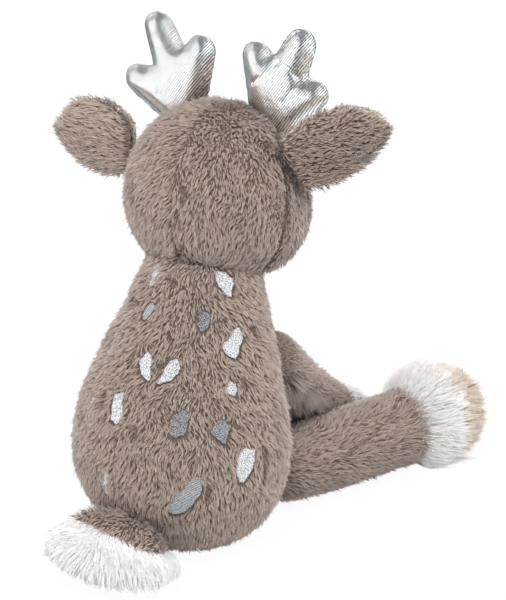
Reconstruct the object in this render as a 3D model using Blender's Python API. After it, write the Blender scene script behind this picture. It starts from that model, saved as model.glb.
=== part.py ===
"""A seated plush deer with silver fabric antlers, as its separate sewn and stuffed pieces.

Metres, +Z up. The deer looks along -Y and its left side is at +X. The origin is on the
surface that it sits on, under the middle of its seat.
"""

import math

import bmesh
import bpy
from mathutils import Matrix, Vector
from mathutils.bvhtree import BVHTree

MM = 0.001
LEFT, RIGHT = 1, -1

# Play between pieces
SEAM_GAP = 0.3 * MM
SWING_GAP = 0.5 * MM
SHARP_ANGLE = math.radians(50)
# A moving root's hollow is the hull of the root at this many turns and one more
SWING_STEPS = 4
SMALL_SWING_STEPS = 2
DOME_STEPS = 4

# Torso: a pear on a flat seat, leaning forward to the neck
TORSO_WIDTH = 122 * MM
TORSO_DEPTH = 112 * MM
NECK_HEIGHT = 139 * MM
NECK_FORWARD = 16 * MM
NECK_RADIUS = 33 * MM
NECK_FILLING_RISE = 22 * MM
SEAT_WIDTH = 68 * MM
SEAT_DEPTH = 68 * MM
SEAT_PANEL_THICKNESS = 1.6 * MM
SEAT_PANEL_MARGIN = 6 * MM
BEAN_BAG_RADIUS = 25 * MM
BEAN_BAG_HEIGHT = 24 * MM
BEAN_BAG_SIDES = 20
BEAN_BAG_STEPS = 5
# Shares of NECK_HEIGHT, TORSO_WIDTH, TORSO_DEPTH and NECK_FORWARD, from the seat up
TORSO_SHARES = (
    (0.03, 0.65, 0.66, -0.18),
    (0.08, 0.765, 0.79, -0.28),
    (0.18, 0.905, 0.92, -0.42),
    (0.30, 0.985, 1.00, -0.55),
    (0.42, 0.985, 0.99, -0.58),
    (0.54, 0.945, 0.955, -0.50),
    (0.66, 0.87, 0.89, -0.25),
    (0.78, 0.77, 0.785, 0.18),
    (0.88, 0.655, 0.675, 0.55),
    (0.95, 0.56, 0.59, 0.85),
)
TORSO_SIDES = 28
TORSO_ROW_STEPS = 2
NECK_STEPS = 4
# Shares of the way from the filling's flat underside to its top
NECK_FILLING_SHARES = (0, 0.35, 0.65, 0.87)

# Head: a ball that tapers forward into the snout
HEAD_RADIUS = 50.6 * MM
HEAD_RISE = 46 * MM
HEAD_LEAN = 17 * MM
HEAD_TURN = math.radians(6)
SNOUT_REACH = 49 * MM
SNOUT_WIDTH = 54 * MM
SNOUT_HEIGHT = 44 * MM
SNOUT_DROP = 11 * MM
SNOUT_BULGE = 5.5 * MM
HEAD_CHIN_CLEARANCE = 4.5 * MM
# The cheeks stand out this much below the ball's sides, most at this distance forward of its
# middle, and no more than this far from there
CHEEK_SWELL = 4.5 * MM
CHEEK_FORWARD = 8 * MM
CHEEK_REACH = 34 * MM
# Shares of the way from the ball's middle to the snout's end, and of the way from its radius
# to the snout's half size
HEAD_TAPER_SHARES = ((0.26, 0.04), (0.50, 0.24), (0.74, 0.57), (0.92, 0.86), (1.0, 1.0))
HEAD_SIDES = 26
HEAD_BACK_STEPS = 6
SOCKET_SIDES = 36
SOCKET_STEPS = 9
MUZZLE_LENGTH = 24 * MM
MUZZLE_OVERLAP = 11 * MM
MUZZLE_MARGIN = 1.5 * MM
MUZZLE_SIDES = 24
MUZZLE_STEPS = 7
NOSE_WIDTH = 17 * MM
NOSE_HEIGHT = 11 * MM
NOSE_DEPTH = 7 * MM
NOSE_RISE = 8 * MM
NOSE_SET_BACK = 4.5 * MM
NOSE_SIDES = 16
EYE_RADIUS = 6.0 * MM
EYE_BULGE = 4.0 * MM
EYE_SHANK_RADIUS = 1.8 * MM
EYE_SHANK_LENGTH = 13 * MM
EYE_ASIDE = 29 * MM
EYE_RISE = 8 * MM
EYE_FORWARD = 34 * MM
EYE_SIDES = 16
WASHER_RADIUS = 7 * MM
WASHER_THICKNESS = 1.2 * MM
COVER_THICKNESS = 4 * MM

# Ears: two leaf panels each, sewn edge to edge and held in a slot seam of the head
EAR_LENGTH = 55.5 * MM
EAR_WIDTH = 43 * MM
EAR_PANEL_THICKNESS = 4 * MM
EAR_CUP = 6 * MM
# Where along the ear its cup is full, and how thick its edge is beside its middle
EAR_CUP_START_SHARE = 0.33
EAR_EDGE_SHARE = 0.3
EAR_ROOT_FORWARD = -7.5 * MM
EAR_ROOT_ASIDE = 44.5 * MM
EAR_ROOT_RISE = 21 * MM
EAR_ROOT_LENGTH = 16 * MM
EAR_FORWARD_TURN = math.radians(21)
EAR_RAISE = {RIGHT: math.radians(27), LEFT: math.radians(0)}
# How far each ear's tip turns its lower edge forward
EAR_TWIST = {RIGHT: math.radians(32), LEFT: math.radians(0)}
EAR_SWING = math.radians(15)
# Share of EAR_LENGTH and of EAR_WIDTH, from the root to the tip
EAR_SHARES = (
    (0.0, 0.66),
    (0.10, 0.80),
    (0.25, 0.94),
    (0.45, 1.00),
    (0.65, 0.95),
    (0.82, 0.77),
    (0.94, 0.48),
    (1.0, 0.16),
)
EAR_ACROSS = 8

# Antlers: a flat stuffed trunk with three round tines
ANTLER_ROOT_FORWARD = 16 * MM
ANTLER_ROOT_ASIDE = 25 * MM
ANTLER_ROOT_RISE = 34 * MM
ANTLER_TRUNK_RADIUS = 13.5 * MM
ANTLER_TINE_RADIUS = 8.8 * MM
ANTLER_ROOT_RADIUS = 11 * MM
ANTLER_SIDE_TINE_RADIUS = 10.2 * MM
ANTLER_ROOT_REACH = 25 * MM
ANTLER_FLATNESS = 0.82
# How far the fork and the middles of the tines' round ends lie outward of the root and above it
ANTLER_FORK_ASIDE = 2 * MM
ANTLER_FORK_RISE = 13 * MM
MIDDLE_TINE_ASIDE = 18 * MM
MIDDLE_TINE_RISE = 47 * MM
INNER_TINE_ASIDE = -7 * MM
INNER_TINE_RISE = 38 * MM
OUTER_TINE_ASIDE = {RIGHT: 24.5 * MM, LEFT: 28 * MM}
OUTER_TINE_RISE = {RIGHT: 20 * MM, LEFT: 16 * MM}
ANTLER_SIDES = 14
ANTLER_BEND = math.radians(15)
# How far each soft antler leans outward from the root
ANTLER_LEAN = {RIGHT: math.radians(-1), LEFT: math.radians(-3.5)}

# Arms: from the shoulder down and forward, between the legs
SHOULDER_FORWARD = 44 * MM
SHOULDER_ASIDE = 27 * MM
SHOULDER_HEIGHT = 88 * MM
HAND_FORWARD = 131 * MM
HAND_ASIDE = 28 * MM
HAND_HEIGHT = 21 * MM
ARM_SAG = 1 * MM
ARM_ROOT_RADIUS = 17.5 * MM
ARM_RADIUS = 14.2 * MM
WRIST_RADIUS = 14 * MM
HAND_RADIUS = 16.5 * MM
# Shares of the arm's length from the shoulder
ARM_FULL_SHARE = 0.38
WRIST_SHARE = 0.86
ARM_ROOT_REACH = 30 * MM
ARM_SIDES = 16
ARM_STEPS = 9
ARM_LIFT = math.radians(60)

# Legs: straight out on the ground, splayed, with a long fur cuff and a sole
HIP_FORWARD = 45 * MM
HIP_ASIDE = 36 * MM
LEG_SPLAY = math.radians(25)
LEG_RADIUS = 22.5 * MM
HIP_RADIUS = 20.5 * MM
HIP_SWELL_DISTANCE = 24.5 * MM
HIP_ROOT_REACH = 35 * MM
ANKLE_DISTANCE = 86 * MM
CUFF_LENGTH = 31 * MM
CUFF_RADIUS = 27.5 * MM
# Shares of the cuff's length and of its swell over the leg
CUFF_SHARES = ((0.0, 0.0), (0.2, 0.6), (0.6, 1.0))
SOLE_LENGTH = 17 * MM
SOLE_RADIUS = 24.5 * MM
FLOOR_CLEARANCE = 0.5 * MM
LEG_SIDES = 20
LEG_SWING = math.radians(35)

# Tail: a brown wedge over a brush of long white fur
TAIL_FORWARD = -59 * MM
TAIL_ASIDE = 7 * MM
TAIL_ROLL = math.radians(9)
TAIL_HEIGHT = 25 * MM
TAIL_LENGTH = 26 * MM
TAIL_WIDTH = 52 * MM
TAIL_THICKNESS = 19 * MM
TAIL_ROOT_RADIUS = 9 * MM
# Shares of the tail's length, half width and half thickness, and its drop as a share of the last
TAIL_SHARES = ((0.3, 0.85, 1.0, 0.0), (0.6, 1.0, 0.9, 0.0), (0.9, 0.75, 0.6, 0.4))
TAIL_TIP_DROP_SHARE = 0.6
BRUSH_LENGTH = 42 * MM
BRUSH_WIDTH = 66 * MM
BRUSH_THICKNESS = 24 * MM
BRUSH_HEIGHT = 15.5 * MM
BRUSH_SIDES = 18
BRUSH_STEPS = 6
TAIL_SIDES = 16
TAIL_SWING = math.radians(20)

# Embroidered spots on the back: the way round the torso from straight back towards its left,
# the share of NECK_HEIGHT, length, width, and the turn of the long side from upright to the left
SPOT_THICKNESS = 1.2 * MM
SPOT_RECESS_OVERRUN = 3 * MM
SPOT_OUTLINE_POINTS = 12
GREY_SPOTS = ("spot_03", "spot_09", "spot_10")
SPOTS = {
    "spot_01": (math.radians(-83), 1.065, 17 * MM, 10 * MM, math.radians(9)),
    "spot_02": (math.radians(35), 0.942, 12 * MM, 9 * MM, math.radians(2)),
    "spot_03": (math.radians(-49), 0.942, 12 * MM, 8 * MM, math.radians(-14)),
    "spot_04": (math.radians(-70), 0.871, 20 * MM, 12 * MM, math.radians(-43)),
    "spot_05": (math.radians(5), 0.791, 17 * MM, 9 * MM, math.radians(24)),
    "spot_06": (math.radians(-15), 0.784, 16 * MM, 10 * MM, math.radians(-41)),
    "spot_07": (math.radians(-57), 0.719, 9 * MM, 8 * MM, math.radians(-18)),
    "spot_08": (math.radians(14), 0.633, 19 * MM, 9 * MM, math.radians(36)),
    "spot_09": (math.radians(-24), 0.626, 19 * MM, 12 * MM, math.radians(-10)),
    "spot_10": (math.radians(-46), 0.590, 17 * MM, 11 * MM, math.radians(-31)),
    "spot_11": (math.radians(-59), 0.446, 22 * MM, 13 * MM, math.radians(-23)),
    "spot_12": (math.radians(-27), 0.345, 26 * MM, 12 * MM, math.radians(-38)),
    "spot_13": (math.radians(48), 1.072, 14 * MM, 8 * MM, math.radians(20)),
    "spot_14": (math.radians(47), 0.806, 15 * MM, 9 * MM, math.radians(14)),
    "spot_15": (math.radians(36), 0.568, 17 * MM, 9 * MM, math.radians(31)),
    "spot_16": (math.radians(15), 0.331, 17 * MM, 9 * MM, math.radians(16)),
    "spot_17": (math.radians(82), 0.906, 17 * MM, 10 * MM, math.radians(-12)),
    "spot_18": (math.radians(74), 0.662, 16 * MM, 11 * MM, math.radians(18)),
    "spot_19": (math.radians(88), 0.460, 20 * MM, 10 * MM, math.radians(-24)),
    "spot_20": (math.radians(68), 0.302, 15 * MM, 10 * MM, math.radians(20)),
}

# Colour, roughness and metallic value of each finish
FINISHES = {
    "brown_plush": ((0.30, 0.22, 0.18, 1), 0.95, 0),
    "white_fur": ((0.85, 0.84, 0.82, 1), 0.95, 0),
    "beige_fur": ((0.60, 0.52, 0.44, 1), 0.95, 0),
    "cream_plush": ((0.80, 0.76, 0.70, 1), 0.95, 0),
    "silver_fabric": ((0.62, 0.64, 0.66, 1), 0.35, 0.8),
    "silver_thread": ((0.66, 0.68, 0.70, 1), 0.45, 0.5),
    "grey_thread": ((0.30, 0.32, 0.34, 1), 0.5, 0.4),
    "black_plastic": ((0.02, 0.015, 0.012, 1), 0.1, 0),
    "white_plastic": ((0.8, 0.8, 0.8, 1), 0.4, 0),
    "nose_thread": ((0.12, 0.08, 0.07, 1), 0.6, 0),
    "lining_cloth": ((0.35, 0.30, 0.26, 1), 0.9, 0),
    "filling": ((0.9, 0.9, 0.88, 1), 0.95, 0),
}


def place(forward, left, up):
    """A point or a direction of the toy, from how far it is forward, to the left and up."""
    return Vector((left, -forward, up))


FORWARD, LEFTWARD, UP = place(1, 0, 0), place(0, 1, 0), place(0, 0, 1)
NECK = place(NECK_FORWARD, 0, NECK_HEIGHT)
HEAD_MIDDLE = NECK + place(HEAD_LEAN, 0, HEAD_RISE)
FACE_FORWARD = place(math.cos(HEAD_TURN), math.sin(HEAD_TURN), 0)
FACE_LEFTWARD = place(-math.sin(HEAD_TURN), math.cos(HEAD_TURN), 0)


def on_head(forward, left, up):
    """A point from the middle of the head, which is turned a little to its left."""
    return HEAD_MIDDLE + FACE_FORWARD * forward + FACE_LEFTWARD * left + UP * up


def clear_scene():
    for old in list(bpy.data.objects):
        bpy.data.objects.remove(old)


def finish_of(name):
    """The Principled material of that name, made when it is first asked for."""
    material = bpy.data.materials.get(name)
    if material is None:
        colour, roughness, metallic = FINISHES[name]
        material = bpy.data.materials.new(name)
        material.use_nodes = True
        shader = material.node_tree.nodes["Principled BSDF"]
        shader.inputs["Base Color"].default_value = colour
        shader.inputs["Roughness"].default_value = roughness
        shader.inputs["Metallic"].default_value = metallic
        material.diffuse_color = colour
    return material


def make_piece(name, bm, finish, pivot=None):
    """An object of the mesh, with its origin on the pivot that it moves about."""
    mesh = bpy.data.meshes.new(name)
    bm.to_mesh(mesh)
    bm.free()
    if pivot is not None:
        mesh.transform(Matrix.Translation(-pivot))
    mesh.shade_smooth()
    mesh.set_sharp_from_angle(angle=SHARP_ANGLE)
    piece = bpy.data.objects.new(name, mesh)
    if pivot is not None:
        piece.location = pivot
    bpy.context.scene.collection.objects.link(piece)
    mesh.materials.append(finish_of(finish))
    return piece


def make_cutter(name, bm):
    """A helper that only shapes other pieces: it isn't part of the toy."""
    cutter = make_piece(name, bm, "filling")
    cutter.hide_render = True
    cutter.display_type = "WIRE"
    return cutter


def shape_with(piece, tool, operation="DIFFERENCE"):
    change = piece.modifiers.new(tool.name, "BOOLEAN")
    change.operation = operation
    change.object = tool
    return piece


def smooth_rows(rows, steps):
    """The rows with more between them, on a Catmull-Rom curve through them all."""
    rows = [Vector(row) for row in rows]
    padded = [2 * rows[0] - rows[1], *rows, 2 * rows[-1] - rows[-2]]
    found = []
    for before, start, end, after in zip(padded, padded[1:], padded[2:], padded[3:]):
        for step in range(steps):
            t = step / steps
            found.append(
                start
                + (end - before) * (t / 2)
                + (before - start * 2.5 + end * 2 - after / 2) * t**2
                + ((start - end) * 1.5 + (after - before) / 2) * t**3
            )
    return [*found, rows[-1]]


def ring_points(middle, across, along, sides):
    """An oval of points, from its two half axes."""
    turns = [2 * math.pi * side / sides for side in range(sides)]
    return [middle + across * math.cos(a) + along * math.sin(a) for a in turns]


def loft(rings, first_tip=None, last_tip=None):
    """A closed skin over the rings; an end without a tip is closed flat."""
    bm = bmesh.new()
    loops = [[bm.verts.new(point) for point in ring] for ring in rings]
    for lower, upper in zip(loops, loops[1:]):
        for side in range(len(lower)):
            after = (side + 1) % len(lower)
            bm.faces.new((lower[side], lower[after], upper[after]))
            bm.faces.new((lower[side], upper[after], upper[side]))
    for loop, tip in ((loops[0], first_tip), (loops[-1], last_tip)):
        end = bm.faces.new(loop)
        if tip is not None:
            fan = bmesh.ops.poke(bm, faces=[end])
            fan["verts"][0].co = tip
    bmesh.ops.recalc_face_normals(bm, faces=bm.faces)
    return bm


def oval_dome(middle, across, along, outward, sides, steps):
    """Rings of half an oval ball, from its rim to near its tip, and the tip."""
    rings = []
    for step in range(steps):
        turn = math.pi / 2 * step / steps
        inside = math.cos(turn)
        rings.append(
            ring_points(middle + outward * math.sin(turn), across * inside, along * inside, sides)
        )
    return rings, middle + outward


def ball(middle, across, along, outward, sides, steps):
    """A closed oval ball from its three half axes."""
    front, tip = oval_dome(middle, across, along, outward, sides, steps)
    back, tail = oval_dome(middle, across, along, -outward, sides, steps)
    return loft([*reversed(back[1:]), *front], tail, tip)


def bent_form(points, radii, flat_way, flatness, sides, round_end=True):
    """A stuffed limb along a bent line, round at its root and, if asked, at its end."""
    rings = []
    for number, (point, radius) in enumerate(zip(points, radii)):
        before, after = points[max(0, number - 1)], points[min(len(points) - 1, number + 1)]
        heading = (after - before).normalized()
        wide = heading.cross(flat_way).normalized()
        rings.append((point, wide * radius, wide.cross(heading) * radius * flatness, heading))

    def dome(ring, radius, way):
        middle, wide, flat, heading = ring
        return oval_dome(middle, wide, flat, heading * radius * way, sides, DOME_STEPS)

    root_rings, root_tip = dome(rings[0], radii[0], -1)
    skins = [*reversed(root_rings[1:])]
    skins.extend(ring_points(middle, wide, flat, sides) for middle, wide, flat, _ in rings)
    end_tip = None
    if round_end:
        end_rings, end_tip = dome(rings[-1], radii[-1], 1)
        skins.extend(end_rings[1:])
    return loft(skins, root_tip, end_tip)


def swing_room(name, points, pivot, axis, angles):
    """The hollow that a root needs: the hull of its points over the joint's range."""
    bm = bmesh.new()
    for angle in angles:
        turn = Matrix.Rotation(angle, 3, axis)
        for point in points:
            away = point - pivot
            bm.verts.new(pivot + turn @ (away + away.normalized() * SWING_GAP))
    hull = bmesh.ops.convex_hull(bm, input=bm.verts)
    inside = {part for part in hull["geom_interior"] if isinstance(part, bmesh.types.BMVert)}
    bmesh.ops.delete(bm, geom=list(inside), context="VERTS")
    return make_cutter(name, bm)


def root_points(piece, pivot, reach):
    """The points of a piece, at its place in the toy, that lie within reach of the pivot."""
    points = [piece.matrix_basis @ vertex.co for vertex in piece.data.vertices]
    return [point for point in points if (point - pivot).length < reach]


def swing_steps(low, high, count=SWING_STEPS):
    return [low + (high - low) * step / count for step in range(count + 1)]


# Torso


def torso_form(grow=0.0):
    rows = [
        (
            height * NECK_HEIGHT,
            width * TORSO_WIDTH / 2,
            depth * TORSO_DEPTH / 2,
            lean * NECK_FORWARD,
        )
        for height, width, depth, lean in TORSO_SHARES
    ]
    first_lean = rows[0][3]
    rows.insert(0, (0, SEAT_WIDTH / 2, SEAT_DEPTH / 2, first_lean))
    rows.append((NECK_HEIGHT, NECK_RADIUS, NECK_RADIUS, NECK_FORWARD))
    rings = [
        ring_points(
            place(lean, 0, height),
            LEFTWARD * (half_width + grow),
            FORWARD * (half_depth + grow),
            TORSO_SIDES,
        )
        for height, half_width, half_depth, lean in smooth_rows(rows, TORSO_ROW_STEPS)
    ]
    for step in range(1, NECK_STEPS + 1):
        rise = (NECK_FILLING_RISE + grow) * step / NECK_STEPS
        rings.append(neck_ring(rise, NECK_RADIUS + grow))
    return loft(rings)


def neck_ring(rise, radius):
    """A level ring of the ball that the head sits on, at a height above its middle."""
    half = math.sqrt(radius**2 - rise**2)
    return ring_points(NECK + UP * rise, LEFTWARD * half, FORWARD * half, TORSO_SIDES)


def seat_middle():
    return place(TORSO_SHARES[0][3] * NECK_FORWARD, 0, 0)


def make_torso():
    """The stuffed torso, open below for the pellet bag, with its seat panel and neck filling."""
    torso = make_piece("torso", torso_form(), "brown_plush")
    middle = seat_middle()
    panel_across = LEFTWARD * (SEAT_WIDTH / 2 - SEAT_PANEL_MARGIN)
    panel_along = FORWARD * (SEAT_DEPTH / 2 - SEAT_PANEL_MARGIN)
    panel_rings = [
        ring_points(middle + UP * height, panel_across, panel_along, TORSO_SIDES)
        for height in (0, SEAT_PANEL_THICKNESS)
    ]
    make_piece("seat_panel", loft(panel_rings), "brown_plush")
    recess_rings = [
        ring_points(
            middle + UP * height,
            panel_across + LEFTWARD * SEAM_GAP,
            panel_along + FORWARD * SEAM_GAP,
            TORSO_SIDES,
        )
        for height in (-SEAT_PANEL_THICKNESS, SEAT_PANEL_THICKNESS + SEAM_GAP)
    ]
    shape_with(torso, make_cutter("seat_panel_recess", loft(recess_rings)))

    bag_middle = middle + UP * (SEAT_PANEL_THICKNESS + SEAM_GAP + BEAN_BAG_HEIGHT / 2)
    bag_half = BEAN_BAG_HEIGHT / 2

    def bag_axes(grow=0.0):
        radius = BEAN_BAG_RADIUS + grow
        return LEFTWARD * radius, FORWARD * radius, UP * (bag_half + grow)

    bag = ball(bag_middle, *bag_axes(), BEAN_BAG_SIDES, BEAN_BAG_STEPS)
    make_piece("pellet_bag", bag, "lining_cloth")
    across, along, high = bag_axes(SEAM_GAP)
    dome, top = oval_dome(bag_middle, across, along, high, BEAN_BAG_SIDES, BEAN_BAG_STEPS)
    mouth = ring_points(middle, across, along, BEAN_BAG_SIDES)
    shape_with(torso, make_cutter("pellet_pocket", loft([mouth, *dome], None, top)))

    rises = [
        NECK_FILLING_RISE + (NECK_RADIUS - NECK_FILLING_RISE) * share
        for share in NECK_FILLING_SHARES
    ]
    rings = [neck_ring(rise + SEAM_GAP, NECK_RADIUS) for rise in rises]
    filling = loft(rings, None, NECK + UP * NECK_RADIUS)
    make_piece("neck_filling", filling, "filling", NECK)
    return torso


def spot_form(surface, spot, grow=0.0, rise=0.0):
    """A leaf-shaped slab that follows the torso's curve, flush with it unless it rises."""
    around, height_share, length, width, turn = spot
    heading = place(-math.cos(around), math.sin(around), 0)
    aside = heading.cross(UP)
    core = place(0, 0, height_share * NECK_HEIGHT)
    long_way = (UP * math.cos(turn) + aside * math.sin(turn)) * (length / 2 + grow)
    wide_way = (aside * math.cos(turn) - UP * math.sin(turn)) * (width / 2 + grow)

    def on_torso(point, lift):
        found, normal, _, _ = surface.ray_cast(point + heading * TORSO_WIDTH, -heading)
        return found + normal * lift

    outline = ring_points(core, wide_way, long_way, SPOT_OUTLINE_POINTS)
    floor = -SPOT_THICKNESS - grow
    layers = []
    for share, lift in ((1, floor), (1, rise), (0.5, rise)):
        layers.append([on_torso(core.lerp(point, share), lift) for point in outline])
    return loft(layers, on_torso(core, floor), on_torso(core, rise))


def make_spots(torso):
    """Embroidered leaf spots, each let into the torso so that it lies below the pile."""
    skin = torso_form()
    surface = BVHTree.FromBMesh(skin)
    skin.free()
    for name, spot in SPOTS.items():
        finish = "grey_thread" if name in GREY_SPOTS else "silver_thread"
        make_piece(name, spot_form(surface, spot), finish)
        recess = spot_form(surface, spot, SEAM_GAP, SPOT_RECESS_OVERRUN)
        shape_with(torso, make_cutter(name + "_recess", recess))


# Head


def head_rows():
    """Forward distance, half width, half height and drop of each section of the head."""
    rows = []
    for step in range(1, HEAD_BACK_STEPS):
        turn = math.pi / 2 * (1 - step / HEAD_BACK_STEPS)
        reach = HEAD_RADIUS * math.cos(turn)
        rows.append((-HEAD_RADIUS * math.sin(turn), reach, reach, 0))
    rows.append((0, HEAD_RADIUS, HEAD_RADIUS, 0))
    for way, share in HEAD_TAPER_SHARES:
        rows.append(
            (
                way * SNOUT_REACH,
                HEAD_RADIUS + (SNOUT_WIDTH / 2 - HEAD_RADIUS) * share,
                HEAD_RADIUS + (SNOUT_HEIGHT / 2 - HEAD_RADIUS) * share,
                SNOUT_DROP * share,
            )
        )
    return rows


def head_form(grow=0.0):
    rings = []
    for forward, half_width, half_height, drop in head_rows():
        middle = HEAD_MIDDLE + FACE_FORWARD * forward - UP * drop
        points = ring_points(
            middle, FACE_LEFTWARD * (half_width + grow), UP * (half_height + grow), HEAD_SIDES
        )
        near = max(0, 1 - ((forward - CHEEK_FORWARD) / CHEEK_REACH) ** 2)
        for point in points:
            out = (point - middle).normalized()
            low = max(0, -out.dot(UP)) * abs(out.dot(FACE_LEFTWARD))
            point += out * CHEEK_SWELL * near * 2 * low
        rings.append(points)
    back = HEAD_MIDDLE - FACE_FORWARD * (HEAD_RADIUS + grow)
    front = HEAD_MIDDLE + FACE_FORWARD * (SNOUT_REACH + SNOUT_BULGE + grow) - UP * SNOUT_DROP
    return loft(rings, back, front)


def muzzle_form(grow=0.0):
    """The muzzle's dome, which runs back under the head's cover, and its tip."""
    start = HEAD_MIDDLE + FACE_FORWARD * (SNOUT_REACH - MUZZLE_OVERLAP) - UP * SNOUT_DROP
    rings, tip = oval_dome(
        start,
        FACE_LEFTWARD * (SNOUT_WIDTH / 2 + MUZZLE_MARGIN + grow),
        UP * (SNOUT_HEIGHT / 2 + MUZZLE_MARGIN + grow),
        FACE_FORWARD * (MUZZLE_LENGTH + MUZZLE_OVERLAP + grow),
        MUZZLE_SIDES,
        MUZZLE_STEPS,
    )
    return loft(rings, None, tip), tip


def make_head():
    """The head's cover and filling, hollowed under for the neck, with its muzzle and nose."""
    head = make_piece("head", head_form(), "brown_plush", NECK)
    radius = NECK_RADIUS + SWING_GAP
    socket = ball(
        NECK, FACE_LEFTWARD * radius, FACE_FORWARD * radius, UP * radius, SOCKET_SIDES, SOCKET_STEPS
    )
    shape_with(head, make_cutter("neck_socket", socket))
    under_rings = [
        ring_points(
            NECK + UP * height, FACE_LEFTWARD * HEAD_RADIUS, FACE_FORWARD * HEAD_RADIUS, HEAD_SIDES
        )
        for height in (-HEAD_RADIUS, HEAD_CHIN_CLEARANCE)
    ]
    shape_with(head, make_cutter("chin_clearance", loft(under_rings)))

    form, tip = muzzle_form()
    muzzle = make_piece("muzzle", form, "cream_plush", NECK)
    shape_with(muzzle, make_cutter("head_under_muzzle", head_form(SEAM_GAP)))

    nose = ball(
        tip + UP * NOSE_RISE - FACE_FORWARD * NOSE_SET_BACK,
        FACE_LEFTWARD * NOSE_WIDTH / 2,
        UP * NOSE_HEIGHT / 2,
        FACE_FORWARD * NOSE_DEPTH,
        NOSE_SIDES,
        DOME_STEPS,
    )
    nose_piece = make_piece("nose", nose, "nose_thread", NECK)
    shape_with(nose_piece, make_cutter("muzzle_under_nose", muzzle_form(SEAM_GAP)[0]))
    return head


def make_eye(head, side, name):
    """A domed eye on a shank through the cover, held by a washer inside the head."""
    aim = (on_head(EYE_FORWARD, side * EYE_ASIDE, EYE_RISE) - HEAD_MIDDLE).normalized()
    skin = head_form()
    surface = BVHTree.FromBMesh(skin)
    skin.free()
    seat, normal, _, _ = surface.ray_cast(HEAD_MIDDLE + aim * 2 * HEAD_RADIUS, -aim)
    across = normal.cross(UP).normalized()
    along = normal.cross(across)

    def disc(distance, radius):
        return ring_points(seat + normal * distance, across * radius, along * radius, EYE_SIDES)

    dome, tip = oval_dome(
        seat + normal * SEAM_GAP,
        across * EYE_RADIUS,
        along * EYE_RADIUS,
        normal * EYE_BULGE,
        EYE_SIDES,
        DOME_STEPS,
    )
    shank = [disc(-EYE_SHANK_LENGTH, EYE_SHANK_RADIUS), disc(SEAM_GAP, EYE_SHANK_RADIUS)]
    make_piece("eye_" + name, loft([*shank, *dome], None, tip), "black_plastic", NECK)

    bore = EYE_SHANK_RADIUS + SEAM_GAP
    deep = COVER_THICKNESS + SEAM_GAP
    back = deep + WASHER_THICKNESS
    washer = loft([disc(-back, WASHER_RADIUS), disc(-deep, WASHER_RADIUS)])
    washer_piece = make_piece("eye_washer_" + name, washer, "white_plastic", NECK)
    bore_rings = [disc(-EYE_SHANK_LENGTH - SWING_GAP, bore), disc(EYE_BULGE, bore)]
    bore_tool = make_cutter("eye_bore_" + name, loft(bore_rings))
    shape_with(washer_piece, bore_tool)
    shape_with(head, bore_tool)
    pocket_radius = WASHER_RADIUS + SEAM_GAP
    pocket = loft([disc(-back - SEAM_GAP, pocket_radius), disc(-COVER_THICKNESS, pocket_radius)])
    shape_with(head, make_cutter("washer_pocket_" + name, pocket))
    seat_ring = EYE_RADIUS + SEAM_GAP
    flat = loft([disc(0, seat_ring), disc(EYE_BULGE, seat_ring)])
    shape_with(head, make_cutter("eye_seat_" + name, flat))


def ear_frame(side):
    """The root's middle and the ear's length, width and back directions."""
    root = on_head(EAR_ROOT_FORWARD, side * EAR_ROOT_ASIDE, EAR_ROOT_RISE)
    turn = EAR_FORWARD_TURN
    level = FACE_FORWARD * math.sin(turn) + FACE_LEFTWARD * side * math.cos(turn)
    raised = EAR_RAISE[side]
    long_way = level * math.cos(raised) + UP * math.sin(raised)
    wide_way = (UP - long_way * UP.dot(long_way)).normalized()
    back_way = wide_way.cross(long_way) * side
    return root, long_way, wide_way, back_way


def ear_panel(side, inner, outer):
    """A curved leaf between two depths, measured from the ear's middle layer to its back."""
    root, long_way, root_wide, root_back = ear_frame(side)
    middle_depth = (inner + outer) / 2
    half_depth = (outer - inner) / 2
    rings = []
    for length_share, width_share in EAR_SHARES:
        twist = EAR_TWIST[side] * length_share
        wide_way = root_wide * math.cos(twist) + root_back * math.sin(twist)
        back_way = root_back * math.cos(twist) - root_wide * math.sin(twist)
        half_width = width_share * EAR_WIDTH / 2
        cup = EAR_CUP * min(1, length_share / EAR_CUP_START_SHARE)
        here = root + long_way * EAR_LENGTH * length_share
        front, back = [], []
        for step in range(EAR_ACROSS + 1):
            across = 2 * step / EAR_ACROSS - 1
            sheet = here + wide_way * half_width * across
            sheet = sheet + back_way * (cup * (1 - across**2) - cup / 2 + middle_depth)
            thick = half_depth * max(EAR_EDGE_SHARE, math.sqrt(1 - across**2))
            back.append(sheet + back_way * thick)
            front.append(sheet - back_way * thick)
        rings.append([*back, *reversed(front)])
    return loft(rings)


def make_ear(head, side, name):
    """Brown back panel and pale lining, rocking about the seam at the head."""
    root, long_way, wide_way, _ = ear_frame(side)
    pivot = root + long_way * EAR_PANEL_THICKNESS
    back = ear_panel(side, SEAM_GAP / 2, EAR_PANEL_THICKNESS)
    front = ear_panel(side, -EAR_PANEL_THICKNESS, -SEAM_GAP / 2)
    pieces = [
        make_piece("ear_back_" + name, back, "brown_plush", pivot),
        make_piece("ear_lining_" + name, front, "cream_plush", pivot),
    ]
    points = []
    for piece in pieces:
        points.extend(root_points(piece, root, EAR_WIDTH))
    near = [point for point in points if (point - root).dot(long_way) < EAR_ROOT_LENGTH]
    angles = swing_steps(-EAR_SWING, EAR_SWING, SMALL_SWING_STEPS)
    shape_with(head, swing_room("ear_slot_" + name, near, pivot, wide_way, angles))


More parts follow.
